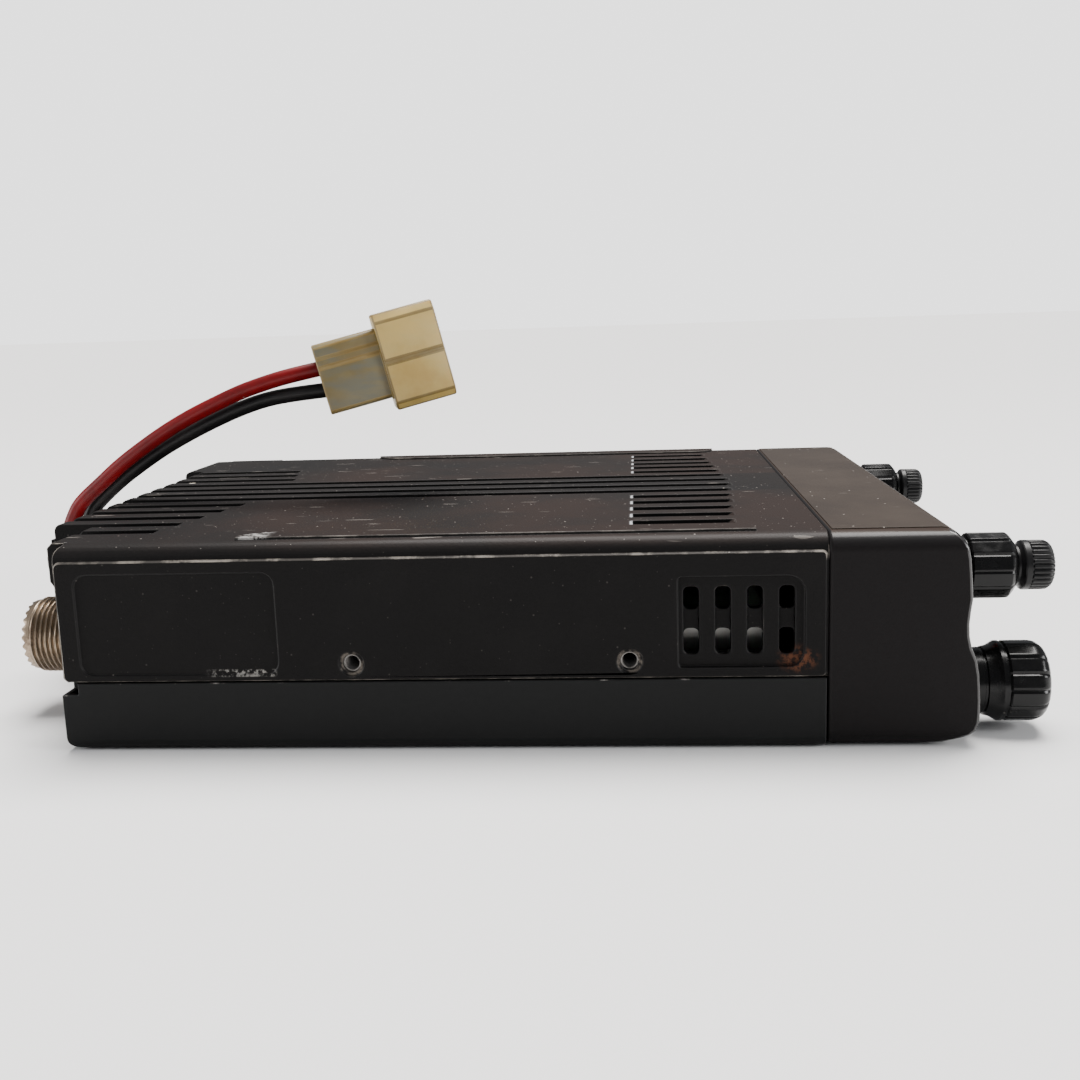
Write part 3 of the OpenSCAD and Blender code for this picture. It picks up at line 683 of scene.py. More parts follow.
def rounded(piece: bpy.types.Object, width: float, segments: int = 2, angle: float = 30.0,
            edge_slot: int = -1) -> bpy.types.Object:
    """Rounds the edges of a piece and returns it as a plain mesh.

    Args:
        piece: The piece.
        width: Width of the rounding in metres.
        segments: Steps of the rounding.
        angle: Edges sharper than this many degrees are rounded.
        edge_slot: Material slot of the rounded edges, or -1 for their neighbours' one.

    Returns:
        The rounded piece.
    """
    bevel = piece.modifiers.new("edges", "BEVEL")
    bevel.width = width
    bevel.segments = segments
    bevel.limit_method = "ANGLE"
    bevel.angle_limit = math.radians(angle)
    bevel.miter_outer = "MITER_ARC"
    bevel.use_clamp_overlap = False
    bevel.material = edge_slot
    piece.data.shade_smooth()
    even = piece.modifiers.new("shading", "WEIGHTED_NORMAL")
    even.keep_sharp = True
    return plain_mesh(piece)


def turned(name: str, centre: tuple[float, float], profile: Outline, steps: int,
           shape: Callable[[float, float, float], tuple[float, float]] | None = None,
           crease: float = 35.0) -> bpy.types.Object:
    """A turned piece on an axis along Y.

    Args:
        name: The piece's name.
        centre: X and Z of the axis, in millimetres.
        profile: Points (y behind the seam, radius) in millimetres; a radius of 0 closes an end.
        steps: Points round the axis.
        shape: Changes a point: takes angle, y and radius, and returns the new y and radius.
        crease: Edges sharper than this many degrees stay sharp.

    Returns:
        The piece.
    """
    made = bmesh.new()
    rings: list[list[bmesh.types.BMVert]] = []
    for y, radius in profile:
        ring = []
        for index in range(steps if radius > 0 else 1):
            angle = math.tau * index / steps
            at_y, at_r = shape(angle, y, radius) if shape and radius > 0 else (y, radius)
            ring.append(made.verts.new(((centre[0] + at_r * math.cos(angle)) * MM, from_seam(at_y),
                                        (centre[1] + at_r * math.sin(angle)) * MM)))
        rings.append(ring)
    for first, second in zip(rings, rings[1:]):
        for index in range(steps):
            quad = [first[index % len(first)], first[(index + 1) % len(first)],
                    second[(index + 1) % len(second)], second[index % len(second)]]
            corners = list(dict.fromkeys(quad))
            if len(corners) > 2:
                made.faces.new(corners)
    if len(rings[0]) > 1 and profile[0] == profile[-1]:
        close_up(made)
    else:
        bmesh.ops.recalc_face_normals(made, faces=made.faces)
    return shown(name, as_mesh(made, name, crease))


def arc(y: float, radius: float, turn: float, start: float, end: float, steps: int = 5) -> Outline:
    """Points of a round corner of a profile, about (y, radius), angles in degrees from +Y."""
    angles = [math.radians(start + (end - start) * k / steps) for k in range(steps + 1)]
    return [(y + turn * math.cos(a), radius + turn * math.sin(a)) for a in angles]


def plate(name: str, outline: Outline, low: float, high: float,
          place: Matrix | None = None) -> bpy.types.Object:
    """A flat outline in X and Z raised along Y.

    Args:
        name: The piece's name.
        outline: Its corners (x, z) in millimetres, anticlockwise.
        low: Its first Y in millimetres, from the seam or from the place.
        high: Its last Y.
        place: Where it goes; behind the seam if left out.

    Returns:
        The piece.
    """
    made = bmesh.new()
    low_ring = [made.verts.new((x, low, z)) for x, z in outline]
    high_ring = [made.verts.new((x, high, z)) for x, z in outline]
    made.faces.new(low_ring)
    made.faces.new(list(reversed(high_ring)))
    count = len(outline)
    for k in range(count):
        nxt = (k + 1) % count
        made.faces.new([low_ring[nxt], low_ring[k], high_ring[k], high_ring[nxt]])
    where = place if place is not None else Matrix.Translation((0, SEAM_Y, 0))
    bmesh.ops.transform(made, matrix=Matrix.Scale(MM, 4) @ where, verts=made.verts)
    bmesh.ops.recalc_face_normals(made, faces=made.faces)
    return shown(name, as_mesh(made, name))


def joined(name: str, pieces: Sequence[bpy.types.Object]) -> bpy.types.Object:
    """Joins plain mesh pieces into one, keeping their materials."""
    made = bmesh.new()
    finishes: list[bpy.types.Material] = []
    for piece in pieces:
        start = len(made.faces)
        made.from_mesh(piece.data)
        made.faces.ensure_lookup_table()
        for face in made.faces[start:]:
            slots = piece.data.materials
            if len(slots):
                finish = slots[min(face.material_index, len(slots) - 1)]
                if finish not in finishes:
                    finishes.append(finish)
                face.material_index = finishes.index(finish)
    mesh = bpy.data.meshes.new(name)
    made.to_mesh(mesh)
    made.free()
    mesh.set_sharp_from_angle(angle=math.radians(35))
    for finish in finishes:
        mesh.materials.append(finish)
    for piece in pieces:
        bpy.data.objects.remove(piece)
    return shown(name, mesh)


def dress(piece: bpy.types.Object, body: str, replaces: Sequence[str] = (),
          finishes: Sequence[bpy.types.Material] = ()) -> bpy.types.Object:
    """Gives a finished piece its materials and its body, and hides the frame nodes it stands for.

    Args:
        piece: The finished piece.
        body: The body it rides on.
        replaces: Nodes of the frame that it stands for.
        finishes: Its materials; those it has are kept if this is empty.

    Returns:
        The piece.
    """
    if finishes:
        piece.data.materials.clear()
        for finish in finishes:
            piece.data.materials.append(finish)
    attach(piece, body)
    if replaces:
        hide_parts(*replaces)
    LOG.info("%s rides on %s", piece.name, body)
    return piece


# ---------------------------------------------------------------- repeated pieces


class Repeat(Enum):
    """How copies of a shape are laid out."""

    ROUND = "round"
    POINTS = "points"


class Copies:
    """A Geometry Nodes tree that repeats one shape."""

    def __init__(self, layout: Repeat) -> None:
        """Builds the tree for one layout."""
        self.layout = layout
        self.tree = bpy.data.node_groups.new(f"copies_{layout.value}", "GeometryNodeTree")
        face = self.tree.interface
        face.new_socket("Geometry", in_out="INPUT", socket_type="NodeSocketGeometry")
        face.new_socket("Shape", in_out="INPUT", socket_type="NodeSocketObject")
        face.new_socket("Count", in_out="INPUT", socket_type="NodeSocketInt")
        face.new_socket("Centre", in_out="INPUT", socket_type="NodeSocketVector")
        face.new_socket("Finish", in_out="INPUT", socket_type="NodeSocketMaterial")
        face.new_socket("Geometry", in_out="OUTPUT", socket_type="NodeSocketGeometry")
        self._wire_up()

    def _add(self, kind: str, **values: Any) -> Any:
        """Adds a node and sets or links its sockets by name."""
        made = self.tree.nodes.new(kind)
        for name, value in values.items():
            socket = made.inputs[name.replace("_", " ")]
            if isinstance(value, bpy.types.NodeSocket):
                self.tree.links.new(value, socket)
            else:
                socket.default_value = value
        return made

    def _wire_up(self) -> None:
        """Wires the layout: copies on points, turned about Y where the layout is round."""
        start = self.tree.nodes.new("NodeGroupInput")
        shape = self._add("GeometryNodeObjectInfo", Object=start.outputs["Shape"])
        if self.layout is Repeat.ROUND:
            points = self._add("GeometryNodePoints", Count=start.outputs["Count"],
                               Position=start.outputs["Centre"])
            step = self._add("ShaderNodeMath")
            step.operation = "DIVIDE"
            step.inputs[0].default_value = math.tau
            self.tree.links.new(start.outputs["Count"], step.inputs[1])
            index = self._add("GeometryNodeInputIndex")
            turn = self._add("ShaderNodeMath")
            turn.operation = "MULTIPLY"
            self.tree.links.new(index.outputs[0], turn.inputs[0])
            self.tree.links.new(step.outputs[0], turn.inputs[1])
            spin = self._add("ShaderNodeCombineXYZ", Y=turn.outputs[0])
            copies = self._add("GeometryNodeInstanceOnPoints", Points=points.outputs[0],
                               Instance=shape.outputs["Geometry"], Rotation=spin.outputs[0])
        else:
            points = self._add("GeometryNodeMeshToPoints", Mesh=start.outputs["Geometry"])
            copies = self._add("GeometryNodeInstanceOnPoints", Points=points.outputs[0],
                               Instance=shape.outputs["Geometry"])
        real = self._add("GeometryNodeRealizeInstances", Geometry=copies.outputs[0])
        dressed = self._add("GeometryNodeSetMaterial", Geometry=real.outputs[0],
                            Material=start.outputs["Finish"])
        end = self.tree.nodes.new("NodeGroupOutput")
        self.tree.links.new(dressed.outputs[0], end.inputs[0])

    def _set(self, modifier: Any, name: str, value: Any) -> None:
        """Sets a named input of a modifier that uses the tree."""
        for item in self.tree.interface.items_tree:
            if item.item_type == "SOCKET" and item.in_out == "INPUT" and item.name == name:
                modifier[item.identifier] = value

    def make(self, name: str, shape: bpy.types.Object, finish: bpy.types.Material,
             count: int = 0, centre: Point = (0, 0, 0),
             points: Sequence[Point] = ()) -> bpy.types.Object:
        """Repeats a shape and removes the original.

        Args:
            name: Name of the result.
            shape: The shape, about the origin.
            finish: Its material.
            count: How many copies stand round the centre.
            centre: The centre of a round layout, in metres.
            points: The places of a point layout, in metres.

        Returns:
            One plain mesh.
        """
        host_mesh = bpy.data.meshes.new(name)
        host_mesh.from_pydata(list(points) or [(0, 0, 0)], [], [])
        host = shown(name, host_mesh)
        modifier = host.modifiers.new("copies", "NODES")
        modifier.node_group = self.tree
        self._set(modifier, "Shape", shape)
        self._set(modifier, "Count", count)
        self._set(modifier, "Centre", centre)
        self._set(modifier, "Finish", finish)
        host.update_tag()
        made = plain_mesh(host)
        bpy.data.objects.remove(shape)
        made.data.set_sharp_from_angle(angle=math.radians(35))
        return made


# ---------------------------------------------------------------- camera and room


@dataclass
class Room:
    """Camera, floor and lights."""

    eye: Point = (-284.7, -25.9, 78.4)
    heading: float = 4.76
    dip: float = 10.32
    tilt: float = -1.87
    lens: float = 40.77
    backdrop: float = 2.35
    sky: float = 0.25
    key_power: float = 8.0
    key_spread: float = 42.0
    front_power: float = 6.5
    rear_power: float = 5.0
    floor_reach: float = 9.0
    floor_drop: float = 0.0002

    def camera(self) -> None:
        """Places the camera.

        Its angles are in degrees: heading from +X, dip below the horizon, tilt about its line.
        """
        heading, dip, tilt = (math.radians(a) for a in (self.heading, self.dip, self.tilt))
        ahead = Vector((math.cos(dip) * math.cos(heading), math.cos(dip) * math.sin(heading),
                        -math.sin(dip)))
        level = Vector((math.sin(heading), -math.cos(heading), 0))
        rise = level.cross(ahead)
        right = math.cos(tilt) * level + math.sin(tilt) * rise
        up = -math.sin(tilt) * level + math.cos(tilt) * rise
        data = bpy.data.cameras.new("camera")
        data.lens = self.lens
        data.sensor_width = 36.0
        data.clip_start = 0.005
        data.clip_end = 20.0
        camera = bpy.data.objects.new("camera", data)
        turn = Matrix((right, up, -ahead)).transposed().to_4x4()
        camera.matrix_world = Matrix.Translation(Vector(self.eye) * MM) @ turn
        bpy.context.scene.collection.objects.link(camera)
        bpy.context.scene.camera = camera

    def _softbox(self, name: str, place: Point, aim: Point, size: tuple[float, float],
                 power: float) -> None:
        """Adds one rectangular light that looks at a point."""
        data = bpy.data.lights.new(name, "AREA")
        data.shape = "RECTANGLE"
        data.size, data.size_y = size
        data.energy = power
        light = bpy.data.objects.new(name, data)
        light.location = place
        light.rotation_mode = "QUATERNION"
        light.rotation_quaternion = (Vector(aim) - Vector(place)).to_track_quat("-Z", "Y")
        bpy.context.scene.collection.objects.link(light)

    def lights(self) -> None:
        """Adds a wide key light from above and behind, and strips at both ends."""
        data = bpy.data.lights.new("light_key", "SUN")
        data.energy = self.key_power
        data.angle = math.radians(self.key_spread)
        data.color = (1.0, 0.975, 0.95)
        key = bpy.data.objects.new("light_key", data)
        key.rotation_mode = "QUATERNION"
        key.rotation_quaternion = Vector((0.34, -0.10, 1.0)).to_track_quat("Z", "Y")
        bpy.context.scene.collection.objects.link(key)
        self._softbox("light_front", (-0.26, -0.85, 0.30), (0, -0.09, 0.03), (0.3, 0.4),
                      self.front_power)
        self._softbox("light_rear", (-0.22, 0.95, 0.26), (0, 0.10, 0.03), (0.3, 0.5),
                      self.rear_power)
        world = bpy.data.worlds.new("room")
        world.use_nodes = True
        tree = world.node_tree
        around = tree.nodes["Background"]
        around.inputs[0].default_value = (0.93, 0.95, 1.0, 1)
        around.inputs[1].default_value = self.sky
        backdrop = tree.nodes.new("ShaderNodeBackground")
        backdrop.inputs[0].default_value = (1, 1, 1, 1)
        backdrop.inputs[1].default_value = self.backdrop
        ray = tree.nodes.new("ShaderNodeLightPath")
        mix = tree.nodes.new("ShaderNodeMixShader")
        tree.links.new(ray.outputs["Is Camera Ray"], mix.inputs[0])
        tree.links.new(around.outputs[0], mix.inputs[1])
        tree.links.new(backdrop.outputs[0], mix.inputs[2])
        tree.links.new(mix.outputs[0], tree.nodes["World Output"].inputs[0])
        bpy.context.scene.world = world

    def floor(self) -> None:
        """Lays a wide pale floor under the set."""
        mesh = bpy.data.meshes.new("floor")
        reach = self.floor_reach
        mesh.from_pydata([(-reach, -reach, 0), (reach, -reach, 0), (reach, reach, 0),
                          (-reach, reach, 0)], [], [(0, 1, 2, 3)])
        floor = shown("floor", mesh)
        floor.location.z = -self.floor_drop
        graph = Graph("pale_floor")
        mesh.materials.append(graph.finish(Base_Color=(0.82, 0.82, 0.82), Roughness=0.9,
                                           Specular_IOR_Level=0.0))

    def build(self) -> None:
        """Builds the room."""
        self.camera()
        self.lights()
        self.floor()


# ---------------------------------------------------------------- power lead


RED_ROUTE: list[Point] = [
    (-12, 144, 15.3), (-12, 148.6, 15.3), (-12, 153, 15.3), (-12, 158.9, 16.6),
    (-11.8, 163.7, 20.3), (-11.6, 166.5, 25.7), (-11.4, 166.8, 31.7), (-11.2, 164.9, 36.7),
    (-11, 162.7, 39.7), (-11, 158.2, 43.5), (-11, 153.2, 47.6), (-11.2, 148, 51.2),
    (-11.4, 141.6, 55.2), (-11.6, 135.4, 58.5), (-11.8, 129.2, 61.3), (-12, 123.1, 63.8),
    (-12, 117.2, 65.7), (-11.6, 111.4, 67.2), (-10, 102.5, 69)]
BLACK_ROUTE: list[Point] = [
    (-8, 144, 15.3), (-8, 147.2, 15.3), (-8, 150.4, 15.3), (-8, 156.3, 16.6), (-7.9, 161.1, 20.3),
    (-7.8, 163.9, 25.7), (-7.6, 164.2, 31.7), (-7.5, 162.3, 36.7), (-7.5, 160.1, 39.3),
    (-7.6, 155.1, 43.5), (-7.8, 149.8, 47.2), (-8, 143.3, 51.2), (-8.4, 136.9, 54.5),
    (-9, 130.5, 57.4), (-9.6, 124.2, 59.9), (-10.2, 118, 61.8), (-10.6, 111.6, 62.9),
    (-10, 101.5, 63.9)]


@dataclass
class PowerLead:
    """Two stiff wires from the rear wall to a two-pole connector."""

    wire: float = 3.4
    tilt: float = 13.4
    turn: float = 15.0
    plug_at: Point = (-10, 104.8, 65.95)
    steps: int = 6
    block_end: float = -14.9
    lip: float = 0.7
    hood_start: float = -14.6
    hood_floor: float = -16.4
    mouth: float = -28.6

    def smooth(self, route: Sequence[Point]) -> list[Vector]:
        """A smooth line through a route's points, as points of the frame."""
        points = [Vector((x * MM, from_seam(y), z * MM)) for x, y, z in route]
        last = len(points) - 1
        line = []
        for k in range(last):
            a, b, c, d = (points[min(max(k + j, 0), last)] for j in (-1, 0, 1, 2))
            for step in range(self.steps):
                t = step / self.steps
                line.append(0.5 * (2 * b + (c - a) * t + (2 * a - 5 * b + 4 * c - d) * t * t
                                   + (3 * b - a - 3 * c + d) * t ** 3))
        return line + [points[last]]

    def cord(self, name: str, node: str, route: Sequence[Point], finish: Finish) -> None:
        line = self.smooth(route)
        points = [Vector((x * MM, from_seam(y), z * MM)) for x, y, z in route]
        data = bpy.data.curves.new(name, "CURVE")
        data.dimensions = "3D"
        data.bevel_depth = self.wire / 2 * MM
        data.bevel_resolution = 6
        data.use_fill_caps = True
        data.resolution_u = self.steps
        spline = data.splines.new("BEZIER")
        spline.bezier_points.add(len(points) - 1)
        for k, (knot, place) in enumerate(zip(spline.bezier_points, points)):
            before, after = points[max(k - 1, 0)], points[min(k + 1, len(points) - 1)]
            lean = (after - before) / 6
            knot.co, knot.handle_left, knot.handle_right = place, place - lean, place + lean
        wire = bpy.data.objects.new(name, data)
        bpy.context.scene.collection.objects.link(wire)
        dress(wire, "radio", [node], [finish.make()])
        length = sum((b - a).length for a, b in zip(line, line[1:]))
        LOG.info("%s is %.0f mm long", name, length / MM)

    def _frame(self) -> Matrix:
        """The place of the connector: its own -Y points to its mouth."""
        x, y, z = self.plug_at
        return (Matrix.Translation((x, SEAM_Y + y, z))
                @ Matrix.Rotation(math.radians(self.turn), 4, "Z")
                @ Matrix.Rotation(math.radians(-self.tilt), 4, "X"))

    def connector(self) -> list[bpy.types.Object]:
        """Builds the rear half and the hood of the connector."""
        frame = self._frame()
        grey = Nylon("nylon_grey", (0.20, 0.165, 0.080), (0.17, 0.125, 0.045), (0.125, 0.130, 0.100),
                     0.85).make()
        # the yellow hood's last value, 0.55, is painted shade on its upward faces
        yellow = Nylon("nylon_yellow", (0.56, 0.405, 0.135), (0.46, 0.31, 0.085),
                       (0.47, 0.385, 0.17), 0.35, 0.55).make()
        brown = Nylon("nylon_edge", (0.26, 0.185, 0.070), (0.21, 0.14, 0.045), (0.25, 0.21, 0.11),
                      0.5).make()
        block = plate("rear", [(-4.3, -7.9), (4.3, -7.9), (5, -7.2), (5, 2.4), (4.5, 2.9),
                               (4.5, 4.6), (4.2, 4.9), (4.2, 7.2), (3.4, 7.95), (-3.4, 7.95),
                               (-4.2, 7.2), (-4.2, 4.9), (-4.5, 4.6), (-4.5, 2.9), (-5, 2.4),
                               (-5, -7.2)], self.block_end, 0, frame)
        for finish in (grey, brown):
            block.data.materials.append(finish)
        rear = rounded(block, 0.35 * MM, edge_slot=1)
        lip = rounded(plate("lip", [(-5.2, -8.2), (5.2, -8.2), (5.2, 2.6), (-5.2, 2.6)],
                            self.block_end, self.block_end + self.lip, frame), 0.2 * MM)
        back = joined("dc_connector_back", [rear, lip])
        dress(back, "radio", ["dc_connector_rear"])
        hood = self._hood(frame, [yellow, brown])
        dress(hood, "radio", ["dc_connector_front"])
        return [back, hood]

    def _hood(self, frame: Matrix, finishes: Sequence[bpy.types.Material]) -> bpy.types.Object:
        """The hood: a rounded shell with a groove at half height, open at the mouth.

        Args:
            frame: The place of the connector.
            finishes: The finish of its faces, and that of its edges.

        Returns:
            The hood with its inner ribs.
        """
        outer = [(-4.7, -11), (4.7, -11), (6.2, -9.3), (6.2, -0.45), (5.75, 0), (6.2, 0.45),
                 (6.2, 9.0), (4.7, 11), (-4.7, 11), (-6.2, 9.0), (-6.2, 0.45), (-5.75, 0),
                 (-6.2, -0.45), (-6.2, -9.3)]
        inner = [(-4, -9.6), (4, -9.6), (4.9, -8.6), (4.9, -0.2), (4.8, 0), (4.9, 0.2),
                 (4.9, 8.3), (4, 9.6), (-4, 9.6), (-4.9, 8.3), (-4.9, 0.2), (-4.8, 0),
                 (-4.9, -0.2), (-4.9, -8.6)]
        made = bmesh.new()
        rings = [[made.verts.new((x, y, z)) for x, z in outline]
                 for outline, y in ((outer, self.hood_start), (outer, self.mouth),
                                    (inner, self.mouth), (inner, self.hood_floor))]
        made.faces.new(rings[0])
        made.faces.new(rings[3])
        count = len(outer)
        for first, second in zip(rings, rings[1:]):
            for k in range(count):
                nxt = (k + 1) % count
                made.faces.new([first[k], first[nxt], second[nxt], second[k]])
        bmesh.ops.transform(made, matrix=Matrix.Scale(MM, 4) @ frame, verts=made.verts)
        bmesh.ops.recalc_face_normals(made, faces=made.faces)
        shell = shown("hood", as_mesh(made, "hood"))
        for finish in finishes:
            shell.data.materials.append(finish)
        hood = rounded(shell, 0.42 * MM, edge_slot=1)
        ribs = [rounded(plate("rib", [(s * 4.9 - 0.3, z - 0.5), (s * 4.9 + 0.3, z - 0.5),
                                      (s * 4.9 + 0.3, z + 0.5), (s * 4.9 - 0.3, z + 0.5)],
                              -27.6, -16.5, frame), 0.15 * MM) for s in (-1, 1) for z in (-5, 5)]
        return joined("dc_connector_hood", [hood, *ribs])

    def grommet(self) -> None:
        """Builds the ribbed rubber grommet that holds the wires in the rear wall."""
        profile: Outline = [(141.5, 0), (141.5, 6.9), (142.6, 7.0)]
        profile += arc(142.7, 6.1, 0.9, 90, 0, 4)
        profile += [(143.7, 4.7), (144.1, 4.5), (144.4, 4.9), (144.8, 4.9), (145.1, 4.4),
                    (145.5, 4.0), (145.5, 0)]
        piece = turned("dc_grommet_boot", (-10, 15.3), profile, 48)
        rubber = Vinyl("grommet_rubber", (0.012, 0.012, 0.012), (0.025, 0.024, 0.023), 0.6)
        dress(piece, "radio", ["dc_grommet"], [rubber.make()])

    def build(self, frame: dict[str, Any]) -> None:
        """Builds the lead."""
        halves = self.connector()
        red = Vinyl("wire_red", (0.17, 0.003, 0.005), (0.10, 0.003, 0.004), 0.34)
        black = Vinyl("wire_black", (0.006, 0.0055, 0.006), (0.014, 0.012, 0.012), 0.38)
        self.cord("wire_red_lead", "dc_wire_red", RED_ROUTE, red)
        self.cord("wire_black_lead", "dc_wire_black", BLACK_ROUTE, black)
        self.grommet()


# ---------------------------------------------------------------- case


@dataclass
class Skin:
    """A rounded copy of one node of the frame, with its edges in their own finish."""

    node: str
    body: str
    slot: str
    width: float = 0.25
    segments: int = 2
    merge: float = 2e-6

    def build(self, frame: dict[str, Any], finishes: Sequence[bpy.types.Material]) -> None:
        """Copies, rounds and dresses the node.

        Args:
            frame: The loaded frame.
            finishes: The finish, and if there is a second one, that of the rounded edges.
        """
        made = bmesh.new()
        made.from_mesh(frame["nodes"][self.node].data)
        bmesh.ops.remove_doubles(made, verts=made.verts, dist=self.merge)
        bmesh.ops.dissolve_limit(made, angle_limit=math.radians(1), verts=made.verts,
                                 edges=made.edges)
        piece = shown(f"{self.node}_skin", as_mesh(made.copy(), f"{self.node}_skin"))
        for finish in finishes:
            piece.data.materials.append(finish)
        skin = BVHTree.FromBMesh(made)
        made.free()
        piece = rounded(piece, self.width * MM, self.segments, 30.0, len(finishes) - 1)
        for point in piece.data.vertices:
            near, _, _, away = skin.find_nearest(point.co)
            if away > self.width * MM:
                point.co = near
        dress(piece, self.body, [self.node])


@dataclass
class Case:
    """Die-cast chassis and folded steel bottom cover."""

    hole_y: tuple[float, float] = (35.6, 86.9)
    hole_z: float = 16.5
    half_width: float = 69.6
    thread_depth: float = 6.0

    def build(self, frame: dict[str, Any]) -> None:
        """Builds the case."""
        paint, rubbed = CastPaint().make(), CastPaint("cast_black_edge", edge=True).make()
        Skin("chassis_casting", "radio", "cast_black", 0.2).build(frame, [paint, rubbed])
        sheet = SheetPaint().make()
        sheet_edge = SheetPaint("steel_black_edge", edge=True).make()
        Skin("bottom_cover", "radio", "steel_black", 0.2).build(frame, [sheet, sheet_edge])
        self._threads()

    def _threads(self) -> None:
        """Cuts the turns of thread that show in the four bracket holes."""
        turns = []
        for side in (-1, 1):
            for y in self.hole_y:
                profile: Outline = [(-0.6 - k * 0.175, 1.66 if k % 2 else 1.38)
                                    for k in range(int(self.thread_depth / 0.175))]
                profile = [(-0.6, 1.72), *profile, (-0.6 - self.thread_depth, 1.72), (-0.6, 1.72)]
                turn = turned("turn", (0, 0), profile, 32)
                move = (Matrix.Translation((side * self.half_width * MM, from_seam(y),
                                            self.hole_z * MM))
                        @ Matrix.Rotation(math.radians(-90 * side), 4, "Z")
                        @ Matrix.Translation((0, -SEAM_Y * MM, 0)))
                turn.data.transform(move)
                turns.append(turn)
        steel = Metal("thread_metal", (0.20, 0.19, 0.18), (0.05, 0.045, 0.04), 0.38, 0.6, 0.002)
        dress(joined("bracket_threads", turns), "radio", (), [steel.make()])


# ---------------------------------------------------------------- front unit


@dataclass
class FrontUnit:
    """Plastic front unit: shell, top skin, display, keys, buttons and microphone socket."""

    face: float = -24.6
    keys: tuple[float, ...] = (-37, -26, -15, -4, 7, 18)
    button_at: tuple[float, float] = (42.6, 29.8)
    button_r: float = 2.5
    contact_x: tuple[float, ...] = (-3.55, -2.54, -1.52, -0.51, 0.51, 1.52, 2.54, 3.55)
    socket_at: tuple[float, float] = (39.0, 9.1)

    def build(self, frame: dict[str, Any]) -> None:
        """Builds the front unit."""
        shell = MouldedPlastic(rub_from=1.0, skin=(0.026, 0.0165, 0.012)).make()
        rubbed = MouldedPlastic("front_black_edge", rub_from=0.64, gloss=0.1, polish=0.9).make()
        Skin("front_bezel", "radio", "front_black", 0.6, 3).build(frame, [shell, rubbed])
        skin = BrownSkin().make()
        Skin("top_plate", "radio", "top_brown", 0.08).build(frame, [skin])
        self._display(frame)
        cap = MouldedPlastic("key_black", (0.018, 0.018, 0.019), rub_from=0.64, rough=0.36).make()
        for number in range(1, len(self.keys) + 1):
            Skin(f"key_{number}", f"key_{number}", "key_black", 0.5, 3).build(frame, [cap])
        self._button("power_button", -1, MouldedPlastic(
            "button_red", (0.30, 0.022, 0.014), (0.55, 0.20, 0.15), 0.62, 0.34))
        self._button("band_button", 1, MouldedPlastic("button_black", (0.016, 0.016, 0.017),
                                                      rub_from=0.62, rough=0.34))
        self._socket(frame)

    def _display(self, frame: dict[str, Any]) -> None:
        """Gives the window its smoked glass and the display its unlit segments."""
        glass = Plain("window", (0.020, 0.024, 0.024), (0.030, 0.035, 0.034), 0.06, 0.0, 0.34,
                      0.004)
        Skin("display_window", "radio", "window", 0.3, 3).build(frame, [glass.make()])
        segments = [self._digit(x) for x in (-24.0, -15.5, -7.0, 4.5, 13.0, 21.5)]
        ghost = Plain("lcd_segments", (0.10, 0.12, 0.09), (0.13, 0.15, 0.11), 0.5)
        dress(joined("lcd_segments", segments), "radio", (), [ghost.make()])

    def _digit(self, x: float) -> bpy.types.Object:
        """Seven unlit bars of one place of the display."""
        wide, tall, thick, lean = 4.6, 9.0, 0.8, 0.12
        mid = 27.0
        bars = []
        for level in (-1, 0, 1):
            z = mid + level * tall / 2
            bars.append([(-wide / 2 + 0.5, z - thick / 2), (wide / 2 - 0.5, z - thick / 2),
                         (wide / 2 - 0.5, z + thick / 2), (-wide / 2 + 0.5, z + thick / 2)])
        for side in (-1, 1):
            for level in (-1, 1):
                z, at = mid + level * tall / 4, side * wide / 2
                low, high = z - tall / 4 + 0.5, z + tall / 4 - 0.5
                bars.append([(at - thick / 2, low), (at + thick / 2, low),
                             (at + thick / 2, high), (at - thick / 2, high)])
        back = self.face + 1.9
        return joined("digit", [plate("bar", [(x + bx + (bz - mid) * lean, bz) for bx, bz in bar],
                                      back + 0.30, back + 0.42) for bar in bars])

    def _button(self, name: str, side: int, finish: Finish) -> None:
        """Builds a round button with a dished face.

        Args:
            name: The button's node and body.
            side: -1 for the left, 1 for the right.
            finish: Its finish.
        """
        r, front = self.button_r, self.face - 1.7
        profile: Outline = [(front + 0.25, 0), (front + 0.22, r * 0.35), (front + 0.08, r * 0.65)]
        profile += arc(front + 0.4, r - 0.4, 0.4, 180, 90, 4)
        profile += [(-22.05, r), (-22.05, 3.4), (-21.25, 3.4), (-21.25, 1.4), (-19.7, 1.4),
                    (-19.7, 0)]
        piece = turned(f"{name}_cap", (side * self.button_at[0], self.button_at[1]), profile, 48)
        dress(piece, name, [name], [finish.make()])

    def _socket(self, frame: dict[str, Any]) -> None:
        """Builds the microphone socket and its eight contacts."""
        body = MouldedPlastic("inner_black", (0.012, 0.012, 0.013), rub_from=1.0, rough=0.38)
        Skin("mic_jack", "radio", "inner_black", 0.15).build(frame, [body.make()])
        x, z = self.socket_at
        wire = rounded(plate("contact", [(-0.2, -0.2), (0.2, -0.2), (0.2, 0.2), (-0.2, 0.2)],
                             0, 6.4, Matrix.Rotation(math.radians(-16), 4, "X")), 0.05 * MM)
        gold = Metal("contact_gold", (0.75, 0.52, 0.18), (0.45, 0.28, 0.09), 0.22, 0.3, 0.002)
        spots = [((x + at) * MM, from_seam(self.face + 3.2), (z + 2.0) * MM)
                 for at in self.contact_x]
        piece = Copies(Repeat.POINTS).make("mic_contacts", wire, gold.make(), points=spots)
        dress(piece, "radio")


# ---------------------------------------------------------------- rotary controls


